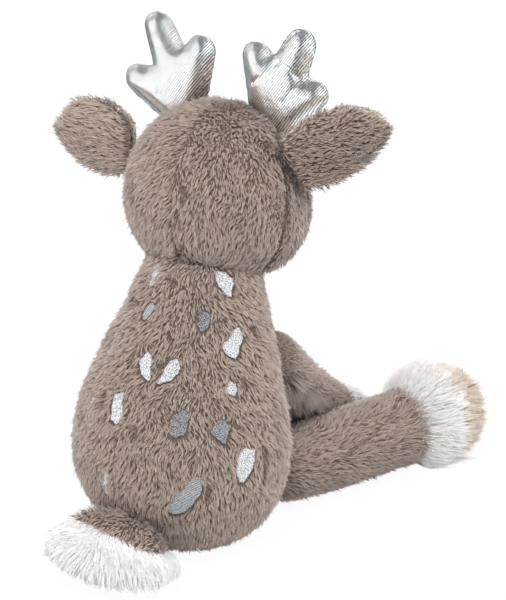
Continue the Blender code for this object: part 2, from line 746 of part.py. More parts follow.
def make_antler(head, side, name):
    """Trunk and three tines in one, on a root that rocks fore and aft in the head."""
    root = on_head(ANTLER_ROOT_FORWARD, side * ANTLER_ROOT_ASIDE, ANTLER_ROOT_RISE)

    lean = ANTLER_LEAN[side]
    out_way = FACE_LEFTWARD * side * math.cos(lean) - UP * math.sin(lean)
    up_way = UP * math.cos(lean) + FACE_LEFTWARD * side * math.sin(lean)

    def tine(aside, rise, start_radius, *lower):
        fork = root + out_way * ANTLER_FORK_ASIDE + up_way * ANTLER_FORK_RISE
        end = root + out_way * aside + up_way * rise
        points = [*lower, fork, fork.lerp(end, 0.5), end]
        slim = (start_radius + ANTLER_TINE_RADIUS) / 2
        radii = [*([ANTLER_ROOT_RADIUS] * len(lower)), start_radius, slim, ANTLER_TINE_RADIUS]
        return bent_form(points, radii, FACE_FORWARD, ANTLER_FLATNESS, ANTLER_SIDES)

    middle = tine(MIDDLE_TINE_ASIDE, MIDDLE_TINE_RISE, ANTLER_TRUNK_RADIUS, root)
    antler = make_piece("antler_" + name, middle, "silver_fabric", root)
    inner = tine(INNER_TINE_ASIDE, INNER_TINE_RISE, ANTLER_SIDE_TINE_RADIUS)
    shape_with(antler, make_cutter("inner_tine_" + name, inner), "UNION")
    outer = tine(OUTER_TINE_ASIDE[side], OUTER_TINE_RISE[side], ANTLER_SIDE_TINE_RADIUS)
    shape_with(antler, make_cutter("outer_tine_" + name, outer), "UNION")
    near = root_points(antler, root, ANTLER_ROOT_REACH)
    angles = swing_steps(-ANTLER_BEND, ANTLER_BEND, SMALL_SWING_STEPS)
    shape_with(head, swing_room("antler_hollow_" + name, near, root, FACE_LEFTWARD, angles))


# Limbs


def arm_spine(side):
    """Points from the shoulder to the hand, sagging a little between them."""
    start = place(SHOULDER_FORWARD, side * SHOULDER_ASIDE, SHOULDER_HEIGHT)
    end = place(HAND_FORWARD, side * HAND_ASIDE, HAND_HEIGHT)
    arch = LEFTWARD.cross(end - start).normalized() * ARM_SAG
    points = []
    for step in range(ARM_STEPS + 1):
        share = step / ARM_STEPS
        points.append(start.lerp(end, share) + arch * math.sin(math.pi * share))
    return points


def arm_radius(share):
    """Half width along the arm: full below the shoulder, slimmer at the wrist."""
    if share < ARM_FULL_SHARE:
        return ARM_ROOT_RADIUS + (ARM_RADIUS - ARM_ROOT_RADIUS) * share / ARM_FULL_SHARE
    beyond = (share - ARM_FULL_SHARE) / (1 - ARM_FULL_SHARE)
    return ARM_RADIUS + (WRIST_RADIUS - ARM_RADIUS) * beyond


def make_arm(torso, side, name):
    """Brown sleeve on a ball root in the torso, with a white paw."""
    spine = arm_spine(side)
    wrist = round(WRIST_SHARE * ARM_STEPS)
    shoulder = spine[0]
    radii = [arm_radius(number / ARM_STEPS) for number in range(wrist + 1)]
    form = bent_form(spine[: wrist + 1], radii, LEFTWARD, 1, ARM_SIDES, round_end=False)
    sleeve = make_piece("arm_" + name, form, "brown_plush", shoulder)
    near = root_points(sleeve, shoulder, ARM_ROOT_REACH)
    angles = swing_steps(-ARM_LIFT, 0)
    shape_with(torso, swing_room("shoulder_hollow_" + name, near, shoulder, LEFTWARD, angles))

    heading = (spine[wrist] - spine[wrist - 1]).normalized()
    wide = heading.cross(LEFTWARD).normalized()
    flat = wide.cross(heading)
    start = spine[wrist] + heading * SEAM_GAP
    rings = [ring_points(start, wide * WRIST_RADIUS, flat * WRIST_RADIUS, ARM_SIDES)]
    dome, tip = oval_dome(
        spine[-1], wide * HAND_RADIUS, flat * HAND_RADIUS, heading * HAND_RADIUS, ARM_SIDES, DOME_STEPS
    )
    make_piece("paw_" + name, loft([*rings, *dome], None, tip), "white_fur", shoulder)


def make_leg(torso, side, name):
    """Brown sleeve on a ball root in the torso, a long fur cuff and the sole."""
    hip = place(HIP_FORWARD, side * HIP_ASIDE, LEG_RADIUS + FLOOR_CLEARANCE)
    heading = place(math.cos(LEG_SPLAY), side * math.sin(LEG_SPLAY), 0)
    along = heading.cross(UP).normalized()

    def ring(distance, radius, lift=0.0):
        middle = hip + heading * distance + UP * lift
        return ring_points(middle, UP * radius, along * radius, LEG_SIDES)

    dome, tail = oval_dome(
        hip, UP * HIP_RADIUS, along * HIP_RADIUS, -heading * HIP_RADIUS, LEG_SIDES, DOME_STEPS
    )
    rings = [*reversed(dome[1:]), ring(0, HIP_RADIUS), ring(HIP_SWELL_DISTANCE, LEG_RADIUS)]
    rings.append(ring((HIP_SWELL_DISTANCE + ANKLE_DISTANCE) / 2, LEG_RADIUS))
    rings.append(ring(ANKLE_DISTANCE, LEG_RADIUS))
    sleeve = make_piece("leg_" + name, loft(rings, tail), "brown_plush", hip)

    cuff_start = ANKLE_DISTANCE + SEAM_GAP
    rise = CUFF_RADIUS - LEG_RADIUS
    cuff_rings = [
        ring(cuff_start + CUFF_LENGTH * way, LEG_RADIUS + rise * swell, rise * swell)
        for way, swell in CUFF_SHARES
    ]
    cuff_rings.append(ring(cuff_start + CUFF_LENGTH, SOLE_RADIUS, SOLE_RADIUS - LEG_RADIUS))
    make_piece("cuff_" + name, loft(cuff_rings), "white_fur", hip)

    sole_start = cuff_start + CUFF_LENGTH + SEAM_GAP
    sole_dome, sole_tip = oval_dome(
        hip + heading * sole_start + UP * (SOLE_RADIUS - LEG_RADIUS),
        UP * SOLE_RADIUS,
        along * SOLE_RADIUS,
        heading * SOLE_LENGTH,
        LEG_SIDES,
        DOME_STEPS,
    )
    make_piece("sole_" + name, loft(sole_dome, None, sole_tip), "beige_fur", hip)
    near = root_points(sleeve, hip, HIP_ROOT_REACH)
    turn = side * LEG_SWING
    room = swing_room("hip_hollow_" + name, near, hip, UP, swing_steps(0, turn))
    shape_with(torso, room)


def make_tail(torso):
    """A flat brown wedge over the white brush, both on one root that wags in the torso."""
    root = place(TAIL_FORWARD, TAIL_ASIDE, TAIL_HEIGHT)
    back = -FORWARD
    across_way = LEFTWARD * math.cos(TAIL_ROLL) + UP * math.sin(TAIL_ROLL)
    thick_way = UP * math.cos(TAIL_ROLL) - LEFTWARD * math.sin(TAIL_ROLL)
    half_width, half_height = TAIL_WIDTH / 2, TAIL_THICKNESS / 2

    def ring(distance, wide, thick, drop):
        middle = root + back * distance - UP * drop
        return ring_points(middle, across_way * wide, thick_way * thick, TAIL_SIDES)

    def top_form(grow=0.0):
        radius = TAIL_ROOT_RADIUS + grow
        dome, tail = oval_dome(
            root, across_way * radius, thick_way * radius, -back * radius, TAIL_SIDES, DOME_STEPS
        )
        rings = [*reversed(dome[1:]), ring(0, radius, radius, 0)]
        for way, wide, thick, drop in TAIL_SHARES:
            rings.append(
                ring(
                    TAIL_LENGTH * way,
                    half_width * wide + grow,
                    half_height * thick + grow,
                    half_height * drop,
                )
            )
        tip = root + back * (TAIL_LENGTH + grow) - UP * half_height * TAIL_TIP_DROP_SHARE
        return loft(rings, tail, tip)

    top = make_piece("tail", top_form(), "brown_plush", root)
    near = root_points(top, root, half_width)
    angles = swing_steps(-TAIL_SWING, TAIL_SWING, SMALL_SWING_STEPS)
    shape_with(torso, swing_room("tail_hollow", near, root, UP, angles))

    brush_middle = place(TAIL_FORWARD - BRUSH_LENGTH / 2, TAIL_ASIDE, BRUSH_HEIGHT)
    brush = ball(
        brush_middle,
        across_way * BRUSH_WIDTH / 2,
        thick_way * BRUSH_THICKNESS / 2,
        back * BRUSH_LENGTH / 2,
        BRUSH_SIDES,
        BRUSH_STEPS,
    )
    brush_piece = make_piece("tail_brush", brush, "white_fur", root)
    shape_with(brush_piece, make_cutter("tail_over_brush", top_form(SEAM_GAP)))


def make_deer():
    clear_scene()
    torso = make_torso()
    make_spots(torso)
    head = make_head()
    for side, name in ((LEFT, "left"), (RIGHT, "right")):
        make_eye(head, side, name)
        make_ear(head, side, name)
        make_antler(head, side, name)
        make_arm(torso, side, name)
        make_leg(torso, side, name)
    make_tail(torso)


make_deer()
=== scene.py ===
# %% [markdown]
# # A seated plush deer, seen from behind
# The toy is a set of stuffed bags of brown plush, sewn to each other, with long white and
# beige fur at the feet and tail, silver embroidered spots and silver cloth antlers. The
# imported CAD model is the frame: each stuffed solid in it is replaced here by a smooth
# cushion of backing cloth, and the pile that gives the toy its look is grown on it.

# %% Load the frame
import math

import bmesh
import bpy
import numpy as np
from mathutils import Matrix, Vector
from mathutils.bvhtree import BVHTree
from mathutils.geometry import delaunay_2d_cdt
from mathutils.kdtree import KDTree


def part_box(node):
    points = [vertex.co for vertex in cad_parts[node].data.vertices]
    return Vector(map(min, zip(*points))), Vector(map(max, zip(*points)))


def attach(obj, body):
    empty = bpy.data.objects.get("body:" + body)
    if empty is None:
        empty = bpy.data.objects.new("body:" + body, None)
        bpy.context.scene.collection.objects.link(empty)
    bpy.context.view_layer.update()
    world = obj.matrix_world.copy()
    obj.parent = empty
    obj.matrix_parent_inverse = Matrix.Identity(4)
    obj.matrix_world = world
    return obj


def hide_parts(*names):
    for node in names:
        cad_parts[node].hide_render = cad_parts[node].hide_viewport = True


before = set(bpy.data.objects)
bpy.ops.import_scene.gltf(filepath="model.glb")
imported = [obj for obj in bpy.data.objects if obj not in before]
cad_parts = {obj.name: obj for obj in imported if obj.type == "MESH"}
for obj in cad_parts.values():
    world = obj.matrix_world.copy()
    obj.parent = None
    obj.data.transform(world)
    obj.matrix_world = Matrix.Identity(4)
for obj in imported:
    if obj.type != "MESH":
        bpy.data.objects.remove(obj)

MM = 0.001
SIDES = ("left", "right")
UP = Vector((0, 0, 1))
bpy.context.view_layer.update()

# %% [markdown]
# ## The camera
# The photograph was taken from behind the toy, over its right shoulder and a little above.
# The camera stands on that line at 1.3 m, and its lens makes the picture's height 334 mm
# at the toy. Places that were measured in the photograph are given as its pixels, and a
# ray from the camera finds them on the toy.

# %% Camera
CAMERA_AZIMUTH, CAMERA_ELEVATION = math.radians(208), math.radians(22)
CAMERA_DISTANCE = 1300 * MM
PICTURE_WIDTH, PICTURE_HEIGHT = 506, 600
PICTURE_SPAN = 333.6 * MM
SENSOR_MM = 36
LOOK_RIGHT, LOOK_UP = 35.0 * MM, 123.2 * MM

toward_camera = Vector((
    math.sin(CAMERA_AZIMUTH) * math.cos(CAMERA_ELEVATION),
    -math.cos(CAMERA_AZIMUTH) * math.cos(CAMERA_ELEVATION),
    math.sin(CAMERA_ELEVATION),
))
picture_right = Vector((math.cos(CAMERA_AZIMUTH), math.sin(CAMERA_AZIMUTH), 0))
picture_up = toward_camera.cross(picture_right)
looked_at = picture_right * LOOK_RIGHT + picture_up * LOOK_UP
camera_place = looked_at + toward_camera * CAMERA_DISTANCE

camera_data = bpy.data.cameras.new("camera")
camera_data.sensor_width = SENSOR_MM
camera_data.lens = SENSOR_MM * CAMERA_DISTANCE / PICTURE_SPAN
camera_data.clip_end = 20
camera = bpy.data.objects.new("camera", camera_data)
camera.matrix_world = Matrix.Translation(camera_place) @ Matrix(
    (picture_right, picture_up, toward_camera)
).transposed().to_4x4()
bpy.context.scene.collection.objects.link(camera)
bpy.context.scene.camera = camera
bpy.context.scene.view_settings.view_transform = "Standard"


def ray_through(x, y):
    """The direction from the camera to a pixel of the photograph."""
    scale = PICTURE_SPAN / PICTURE_HEIGHT
    point = (
        looked_at
        + picture_right * (x - PICTURE_WIDTH / 2) * scale
        + picture_up * (PICTURE_HEIGHT / 2 - y) * scale
    )
    return (point - camera_place).normalized()


def pixels_of(points):
    """Where the camera sees the points, as the x and the y of the photograph's pixels."""
    offset = points - np.array(camera_place)
    scale = PICTURE_SPAN / PICTURE_HEIGHT * -(offset @ np.array(toward_camera)) / CAMERA_DISTANCE
    x = PICTURE_WIDTH / 2 + offset @ np.array(picture_right) / scale
    return x, PICTURE_HEIGHT / 2 - offset @ np.array(picture_up) / scale


print("Camera at", [round(v, 3) for v in camera_place])

# %% [markdown]
# ## Small helpers for materials
# A colour is written as the hex value that a picture editor shows, and one function turns
# it into the linear values that Blender computes with. Another adds a node with its
# settings and its links, and a third starts a material with the fixed values of its shader.


# %% Material helpers
def linear(hex_colour):
    """The linear RGBA of a written sRGB colour such as "94827A"."""
    values = [int(hex_colour[i : i + 2], 16) / 255 for i in (0, 2, 4)]
    return tuple(
        v / 12.92 if v <= 0.04045 else ((v + 0.055) / 1.055) ** 2.4 for v in values
    ) + (1.0,)


def add_node(tree, kind, inputs=None, **settings):
    """A shader node of the kind, with its settings, and its inputs set to values or linked."""
    node = tree.nodes.new("ShaderNode" + kind)
    for name, value in settings.items():
        setattr(node, name, value)
    for name, value in (inputs or {}).items():
        if isinstance(value, bpy.types.NodeSocket):
            tree.links.new(value, node.inputs[name])
        else:
            node.inputs[name].default_value = value
    return node


def new_material(name, **values):
    """A Principled material, its shader's sockets set by name, with _ for a space."""
    material = bpy.data.materials.new(name)
    material.use_nodes = True
    shader = material.node_tree.nodes["Principled BSDF"]
    for socket, value in values.items():
        shader.inputs[socket.replace("_", " ")].default_value = value
    return material, material.node_tree, shader


def colour_ramp(tree, factor, stops):
    """A ramp node that reads the factor and gives the colours at their places."""
    ramp = add_node(tree, "ValToRGB", {"Fac": factor})
    elements = ramp.color_ramp.elements
    while len(elements) < len(stops):
        elements.new(0.5)
    for element, (place, colour) in zip(elements, stops):
        element.position, element.color = place, linear(colour)
    return ramp


def show_pattern(tree, shader, height, stops, depth, strength, under=None, invert=False):
    """Shows a pattern's height as colours between the stops, and as a bump of that depth."""
    colour = colour_ramp(tree, height, stops)
    inputs = {"Height": height, "Distance": depth, "Strength": strength}
    if under:
        inputs["Normal"] = under
    bump = add_node(tree, "Bump", inputs, invert=invert)
    tree.links.new(colour.outputs["Color"], shader.inputs["Base Color"])
    tree.links.new(bump.outputs["Normal"], shader.inputs["Normal"])


# %% [markdown]
# ## Polyester pile
# Plush is a knitted backing with polyester fibres that stand up from it. Each strand here
# is a small closed leaf of a few faces, wide enough to show in the render, so it stands
# for some tens of real fibres. A strand's own UV map gives its colour: v runs from root to
# tip and u is its tone, so the colour is darker in the depth of the pile, which is painted
# shade, and no two tufts are alike. Polyester fibres scatter light at a grazing angle,
# which is the sheen.
#
# The map is named OFBake, which the export keeps as it is.


# %% Pile materials
def pile_material(name, deep_shade, root, middle, tip, spread=0.5, sheen=0.2):
    """Dyed polyester fibre, its tone set by u, with painted shade: dark at its root, light at its
    tip.
    """
    material, tree, shader = new_material(
        name, Roughness=0.8, Sheen_Weight=sheen, Sheen_Roughness=0.5, Specular_IOR_Level=0.3
    )
    strand_map = add_node(tree, "UVMap", uv_map="OFBake")
    parts = add_node(tree, "SeparateXYZ", {"Vector": strand_map.outputs["UV"]})
    # The ramp along v is painted shade: darkest deep in the pile, lightest at the tip
    along = colour_ramp(
        tree, parts.outputs["Y"], ((0.1, deep_shade), (0.35, root), (0.65, middle), (1.0, tip))
    )
    tone = add_node(
        tree,
        "MapRange",
        {"Value": parts.outputs["X"], "To Min": 1 - spread / 2, "To Max": 1 + spread / 2},
    )
    dyed = add_node(
        tree, "HueSaturation", {"Color": along.outputs["Color"], "Value": tone.outputs["Result"]}
    )
    tree.links.new(dyed.outputs["Color"], shader.inputs["Base Color"])
    return material


brown_pile = pile_material("polyester_pile_brown", "5E5048", "8C7C72", "A8978D", "B9A99E")
white_pile = pile_material("polyester_pile_white", "F6F6F5", "F8F8F8", "FAFAFA", "FCFCFC", 0.06)
# A greyer copy of the white pile for the feet, whose grey is painted shade
shaded_white_pile = pile_material(
    "polyester_pile_white_painted_shade", "DEDCDA", "E4E2E1", "EAE8E7", "EFEDEC", 0.08
)
beige_pile = pile_material("polyester_pile_beige", "8F7D6A", "B09C86", "C8B8A5", "DBD0C3", 0.4)
cream_pile = pile_material("polyester_pile_cream", "BDB2A4", "D2C9BD", "E4DCD1", "EEE8DF", 0.12)
print("Fibres:", [material.name for material in bpy.data.materials if "pile" in material.name])

# %% [markdown]
# ## Cushions of backing cloth
# A stuffed part has no flat or sharp place that its filling doesn't round. Its cushion is
# made from the CAD solids that it stands for: a copy of them is merged, filled out where
# hollows for joints were cut, remeshed into even faces, smoothed, and drawn in by the
# depth of the pile. Cloth pressure would swell it past the outline that was measured, so
# the remesh and the smoothing round it in its place.

# %% Cushion helpers
PILE_DEPTH = 3.2 * MM
CUSHION_VOXEL = 2.2 * MM
CLOTH_KNIT = 1.1 * MM


def cloth_material(name, dark, light):
    """Knitted backing cloth: loops about a millimetre apart, seen only between tufts."""
    material, tree, shader = new_material(name, Roughness=0.9, Specular_IOR_Level=0.2)
    place = add_node(tree, "TexCoord")
    loops = add_node(
        tree, "TexVoronoi", {"Vector": place.outputs["Object"], "Scale": 1 / CLOTH_KNIT}
    )
    show_pattern(
        tree, shader, loops.outputs["Distance"], ((0.1, light), (0.8, dark)), 0.2 * MM, 0.6,
        invert=True,
    )
    return material


brown_cloth = cloth_material("knitted_backing_brown", "6B5C53", "85766C")
white_cloth = cloth_material("knitted_backing_white", "ECEBEA", "F6F6F5")
beige_cloth = cloth_material("knitted_backing_beige", "B8ADA2", "D2C9C0")
cream_cloth = cloth_material("knitted_backing_cream", "B8AD9F", "D9D0C4")


def select_only(piece):
    bpy.ops.object.select_all(action="DESELECT")
    piece.select_set(True)
    bpy.context.view_layer.objects.active = piece


def apply_modifier(piece, kind, **settings):
    """Adds the modifier, sets it and applies it, as the Apply button does."""
    select_only(piece)
    modifier = piece.modifiers.new(kind.lower(), kind)
    for name, value in settings.items():
        setattr(modifier, name, value)
    bpy.ops.object.modifier_apply(modifier=modifier.name)


def new_piece(name, mesh):
    piece = bpy.data.objects.new(name, mesh)
    bpy.context.scene.collection.objects.link(piece)
    return piece


def keep_hull(shape):
    """Leaves only the convex hull of a shape's points."""
    made = bmesh.ops.convex_hull(shape, input=shape.verts, use_existing_faces=False)
    spare = {v for v in made["geom_interior"] if isinstance(v, bmesh.types.BMVert)}
    bmesh.ops.delete(shape, geom=list(spare), context="VERTS")
    hull = set(made["geom"])
    old = [face for face in shape.faces if face not in hull]
    bmesh.ops.delete(shape, geom=old, context="FACES_ONLY")


def copy_of(name, *nodes, hull=False):
    """One new object of merged CAD nodes, each filled out to its convex hull if asked."""
    merged = bmesh.new()
    for node in nodes:
        own = bmesh.new()
        own.from_mesh(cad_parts[node].data)
        bmesh.ops.remove_doubles(own, verts=own.verts, dist=0.01 * MM)
        if hull:
            keep_hull(own)
        carried = bpy.data.meshes.new(node)
        own.to_mesh(carried)
        own.free()
        merged.from_mesh(carried)
        bpy.data.meshes.remove(carried)
    mesh = bpy.data.meshes.new(name)
    merged.to_mesh(mesh)
    merged.free()
    return new_piece(name, mesh)


def rounded(piece, voxel, smoothing):
    """Even faces all over, with the corners rounded as filling rounds them."""
    apply_modifier(piece, "REMESH", mode="VOXEL", voxel_size=voxel)
    apply_modifier(piece, "SMOOTH", factor=0.5, iterations=smoothing)
    piece.data.shade_smooth()
    return piece


def drawn_in(piece, depth):
    """Moves each point of the piece inward along its own normal."""
    mesh = piece.data
    moved = [v.co - v.normal * depth for v in mesh.vertices]
    for vertex, place in zip(mesh.vertices, moved):
        vertex.co = place
    mesh.update()


def tree_of(piece):
    return BVHTree.FromPolygons(
        [v.co for v in piece.data.vertices], [p.vertices[:] for p in piece.data.polygons]
    )


def middle(node):
    low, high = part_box(node)
    return (Vector(low) + Vector(high)) / 2


def colour_by_node(piece, cloths):
    """Each face takes the cloth of the CAD node that it is nearest to."""
    trees = [tree_of(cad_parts[node]) for node in cloths]
    for cloth in cloths.values():
        piece.data.materials.append(cloth)
    for face in piece.data.polygons:
        gaps = [tree.find_nearest(face.center)[3] for tree in trees]
        face.material_index = gaps.index(min(gaps))


def cushion(
    name, body, cloths, hull=False, voxel=CUSHION_VOXEL, smoothing=4, depth=PILE_DEPTH,
):
    """A stuffed cushion that stands for its CAD nodes, each given with its backing cloth."""
    piece = rounded(copy_of(name, *cloths, hull=hull), voxel, smoothing)
    drawn_in(piece, depth)
    colour_by_node(piece, cloths)
    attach(piece, body)
    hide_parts(*cloths)
    print(f"{name}: {len(piece.data.polygons)} faces for {', '.join(cloths)}")
    return piece


def widened(piece, centre):
    """Pushes out the side of the tail that the photograph shows wider than its other side."""
    for vertex in piece.data.vertices:
        aside = (vertex.co - centre).dot(picture_right)
        if aside > 0:
            vertex.co += picture_right * aside * TAIL_EXTRA
    piece.data.update()


# %% Cushions
TAIL_EXTRA = 0.5
torso = cushion("torso_cushion", "torso", {"torso": brown_cloth}, hull=True)
head = cushion(
    "head_cushion", "head", {"head": brown_cloth, "muzzle": cream_cloth},
    hull=True,
)
arms, legs, ears = {}, {}, {}
for side in SIDES:
    arms[side] = cushion(
        f"arm_cushion_{side}", f"arm_{side}",
        {f"arm_{side}": brown_cloth, f"paw_{side}": white_cloth}, voxel=1.8 * MM,
    )
    legs[side] = cushion(
        f"leg_cushion_{side}", f"leg_{side}",
        {f"leg_{side}": brown_cloth, f"cuff_{side}": white_cloth, f"sole_{side}": beige_cloth},
    )
    ears[side] = cushion(
        f"ear_cushion_{side}", f"ear_{side}",
        {f"ear_back_{side}": brown_cloth, f"ear_lining_{side}": cream_cloth},
        voxel=1.2 * MM, smoothing=3, depth=1.2 * MM,
    )
tail = cushion(
    "tail_cushion", "tail", {"tail": brown_cloth, "tail_brush": white_cloth},
)
widened(tail, middle("tail"))

# %% [markdown]
# ## Growing the pile
# Strands are scattered over a cushion by area. A flow direction lays them down, as a hand
# that strokes the fur does, and a slow wander of that direction keeps it from looking
# combed. Each strand then leans over to the tip of its nearest tuft, which draws the pile
# into tufts with dark gaps between them. All of it is worked out on whole arrays, because
# there are some 300,000 strands, and every draw comes from a seeded generator.

# %% Pile helpers
ROOT_SINK = 0.8 * MM
FLOOR_GAP = 0.3 * MM
PATCH_SIZE = 18 * MM
# A strand's map is a little over two pixels wide in a picture of 1024
STRAND_MAP_WIDTH = 2.2 / 1024
# Where a strand bends, as shares of its length outward and along the cushion
BEND_OUT, BEND_ALONG = 0.42, 0.12
PANEL_FACES = 190000
triangles = []


def unit(vectors):
    return vectors / np.maximum(np.linalg.norm(vectors, axis=1, keepdims=True), 1e-12)


def scattered(piece, per_mm2, rng):
    """Random points on the piece by area, with the smooth normal at each."""
    mesh = piece.data
    mesh.calc_loop_triangles()
    points = np.empty(len(mesh.vertices) * 3)
    mesh.vertices.foreach_get("co", points)
    normals = np.empty(len(mesh.vertices) * 3)
    mesh.vertex_normals.foreach_get("vector", normals)
    corners = np.empty(len(mesh.loop_triangles) * 3, np.int32)
    mesh.loop_triangles.foreach_get("vertices", corners)
    points, normals, corners = points.reshape(-1, 3), normals.reshape(-1, 3), corners.reshape(-1, 3)
    a, b, c = (points[corners[:, i]] for i in range(3))
    areas = np.linalg.norm(np.cross(b - a, c - a), axis=1) / 2
    count = int(areas.sum() / MM**2 * per_mm2)
    chosen = corners[rng.choice(len(areas), count, p=areas / areas.sum())]
    first, second = np.sqrt(rng.random(count)), rng.random(count)
    shares = np.stack([1 - first, first * (1 - second), first * second], axis=1)
    roots = np.einsum("ij,ijk->ik", shares, points[chosen])
    return roots, unit(np.einsum("ij,ijk->ik", shares, normals[chosen]))


def wander(points, size, rng):
    """A slowly changing number from about -1 to 1 at each point, over the size given."""
    total = np.zeros(len(points))
    for _ in range(7):
        wave = rng.normal(size=3)
        wave *= 2 * math.pi / (size * rng.uniform(0.7, 1.6) * np.linalg.norm(wave))
        total += np.sin(points @ wave + rng.uniform(0, 2 * math.pi))
    return total / 3


def along_surface(vectors, normals):
    vectors = np.broadcast_to(vectors, normals.shape)
    return unit(vectors - normals * np.einsum("ij,ij->i", vectors, normals)[:, None])


def nearest_tuft(roots, count):
    """For each root the number of the tuft that it belongs to: the first roots are the tufts."""
    tree = tree_at(roots[:count])
    return np.fromiter((tree.find(root)[1] for root in roots), np.int64, len(roots))


def strand_mesh(name, path, radii, places, reached, tones, normals, skin_shade, rng):
    """Closed leaf-shaped strands: a root point, rings of three points, and a tip.

    path holds the centres of root, rings and tip, (strands, steps, 3). Their v is their place
    on the strand times what a strand has reached of the full length, so a short strand ends
    in the colour of that depth, which is painted shade. The shading normals lean to the
    cushion's own, because the fine fibres that a strand stands for shade together, as a soft skin.
    """
    count, steps = path.shape[:2]
    rings = steps - 2
    direction = unit(path[:, -1] - path[:, 0])
    across = unit(np.cross(direction, rng.normal(size=(count, 3))))
    other = np.cross(direction, across)
    vertices = np.empty((count, 2 + 3 * rings, 3))
    outward = np.empty_like(vertices)
    vertices[:, 0], vertices[:, -1] = path[:, 0], path[:, -1]
    outward[:, 0], outward[:, -1] = normals, normals
    for ring in range(rings):
        for corner in range(3):
            turn = corner * 2 * math.pi / 3
            arm = across * math.cos(turn) + other * math.sin(turn)
            vertices[:, 1 + 3 * ring + corner] = path[:, 1 + ring] + radii[:, ring, None] * arm
            outward[:, 1 + 3 * ring + corner] = arm
    shaded = unit(((1 - skin_shade) * outward + skin_shade * normals[:, None]).reshape(-1, 3))
    faces, last = [], 1 + 3 * rings
    for corner in range(3):
        after = (corner + 1) % 3
        faces.append((0, 1 + after, 1 + corner))
        for ring in range(rings - 1):
            low, high = 1 + 3 * ring, 4 + 3 * ring
            faces.append((low + corner, low + after, high + after))
            faces.append((low + corner, high + after, high + corner))
        faces.append((last - 3 + corner, last - 3 + after, last))
    faces = np.array(faces)
    # A corner's u is its place across the strand, and the poles sit at the middle
    across_map = np.array([0.5, *([0.0, 0.5, 1.0] * rings), 0.5])
    along_map = np.array([places[0], *np.repeat(places[1:-1], 3), places[-1]])
    loops = (np.arange(count)[:, None, None] * len(across_map) + faces).reshape(-1)
    mesh = bpy.data.meshes.new(name)
    mesh.vertices.add(count * len(across_map))
    mesh.vertices.foreach_set("co", vertices.reshape(-1))
    mesh.loops.add(len(loops))
    mesh.loops.foreach_set("vertex_index", loops.astype(np.int32))
    mesh.polygons.add(count * len(faces))
    starts = np.arange(count * len(faces), dtype=np.int32) * 3
    mesh.polygons.foreach_set("loop_start", starts)
    mesh.update(calc_edges=True)
    uv = np.empty((count, len(faces), 3, 2))
    uv[..., 0] = tones[:, None, None] + across_map[faces][None] * STRAND_MAP_WIDTH
    uv[..., 1] = along_map[faces][None] * reached[:, None, None]
    mesh.uv_layers.new(name="OFBake").data.foreach_set("uv", uv.reshape(-1))
    mesh.shade_smooth()
    kept = mesh.attributes.new("custom_normal", "FLOAT_VECTOR", "POINT")
    kept.data.foreach_set("vector", shaded.reshape(-1))
    return mesh


def grow_pile(
    name, base, body, slot, material, *, flow, seed, keep, per_mm2=1.7, length=5.2, lean=53,
    radius=0.22, tuft=1.25, pull=(0.05, 0.5), stray=12, wander_turn=24, rings=(0.6,),
    comb=None, only=None, tone=0.5, skin_shade=0.7, lift=0.0, unruly=7,
):
    """Pile on a cushion, in as many panels as its faces need.

    Lengths and the tuft's size are in millimetres, lean, stray, wander_turn and unruly, by
    which tufts differ in their lean, in degrees.
    comb gives a factor for the length at each root, and only tells which strands stay. tone sets
    the strands' mean tone, which the arms and legs lower as painted shade and the tail raises as
    painted light.
    """
    rng = np.random.default_rng(seed)
    roots, normals = scattered(base, per_mm2, rng)
    kept = keep(roots, normals)
    roots, normals = roots[kept], normals[kept]
    tufts = max(1, int(len(roots) / (per_mm2 * tuft**2)))
    own = nearest_tuft(roots, tufts)

    def varied(by_tuft, by_strand):
        return by_tuft * rng.normal(size=tufts)[own] + by_strand * rng.normal(size=len(roots))

    tangent = along_surface(flow(roots, normals), normals)
    turn = np.radians(wander_turn) * wander(roots, PATCH_SIZE, rng)
    turn += np.radians(varied(stray, stray * 0.35))
    tangent = tangent * np.cos(turn)[:, None] + np.cross(normals, tangent) * np.sin(turn)[:, None]
    leans = np.radians(lean + varied(unruly, 5))[:, None]
    lengths = np.clip(1 + varied(0.12, 0.1), 0.5, 1.4) * (1 if comb is None else comb(roots))
    reached = np.clip(lengths, 0.0, 1.0)
    lengths = lengths[:, None] * length * MM
    tips = roots + lengths * (normals * np.cos(leans) + tangent * np.sin(leans))
    tips += rng.uniform(*pull, size=len(roots))[:, None] * (tips[own] - tips)
    sunk = np.maximum(FLOOR_GAP - tips[:, 2], 0)
    tips[:, 2] += sunk
    tips[:, :2] += unit(normals[:, :2]) * sunk[:, None]
    tones = np.clip(tone + varied(0.12, 0.2), 0.0, 1.0) * (1 - 2 * STRAND_MAP_WIDTH)
    start = roots - normals * ROOT_SINK
    bend = roots + normals * (lengths * BEND_OUT) + tangent * (lengths * BEND_ALONG)
    places = np.array([0, *rings, 1])
    path = np.stack(
        [(1 - t) ** 2 * start + 2 * t * (1 - t) * bend + t**2 * tips for t in places], axis=1
    )
    path[..., 2] = np.maximum(path[..., 2], FLOOR_GAP)
    thick = radius * MM * rng.uniform(0.75, 1.25, size=len(roots))
    radii = np.stack([thick * (1.0 if i == 0 else 0.8) for i in range(len(rings))], axis=1)
    chosen = np.arange(len(roots)) if only is None else np.flatnonzero(only(roots, tips))
    aside = roots[chosen] - roots.mean(axis=0)
    chosen = chosen[np.argsort(np.arctan2(aside[:, 0], aside[:, 1]), kind="stable")]
    panels = max(1, math.ceil(len(chosen) * 6 * len(rings) / PANEL_FACES))
    for number, part in enumerate(np.array_split(chosen, panels), 1):
        panel = name if panels == 1 else f"{name}_{number}"
        mesh = strand_mesh(
            panel, path[part], radii[part], places, reached[part], tones[part],
            unit(normals[part] + lift * np.array(UP)), skin_shade, rng,
        )
        piece = new_piece(panel, mesh)
        mesh.materials.append(material)
        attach(piece, body)
    triangles.append(len(chosen) * 6 * len(rings))
    print(f"{name}: {len(chosen)} strands in {panels} panels")


def tree_at(places):
    tree = KDTree(len(places))
    for number, place in enumerate(places):
        tree.insert(place, number)
    tree.balance()
    return tree


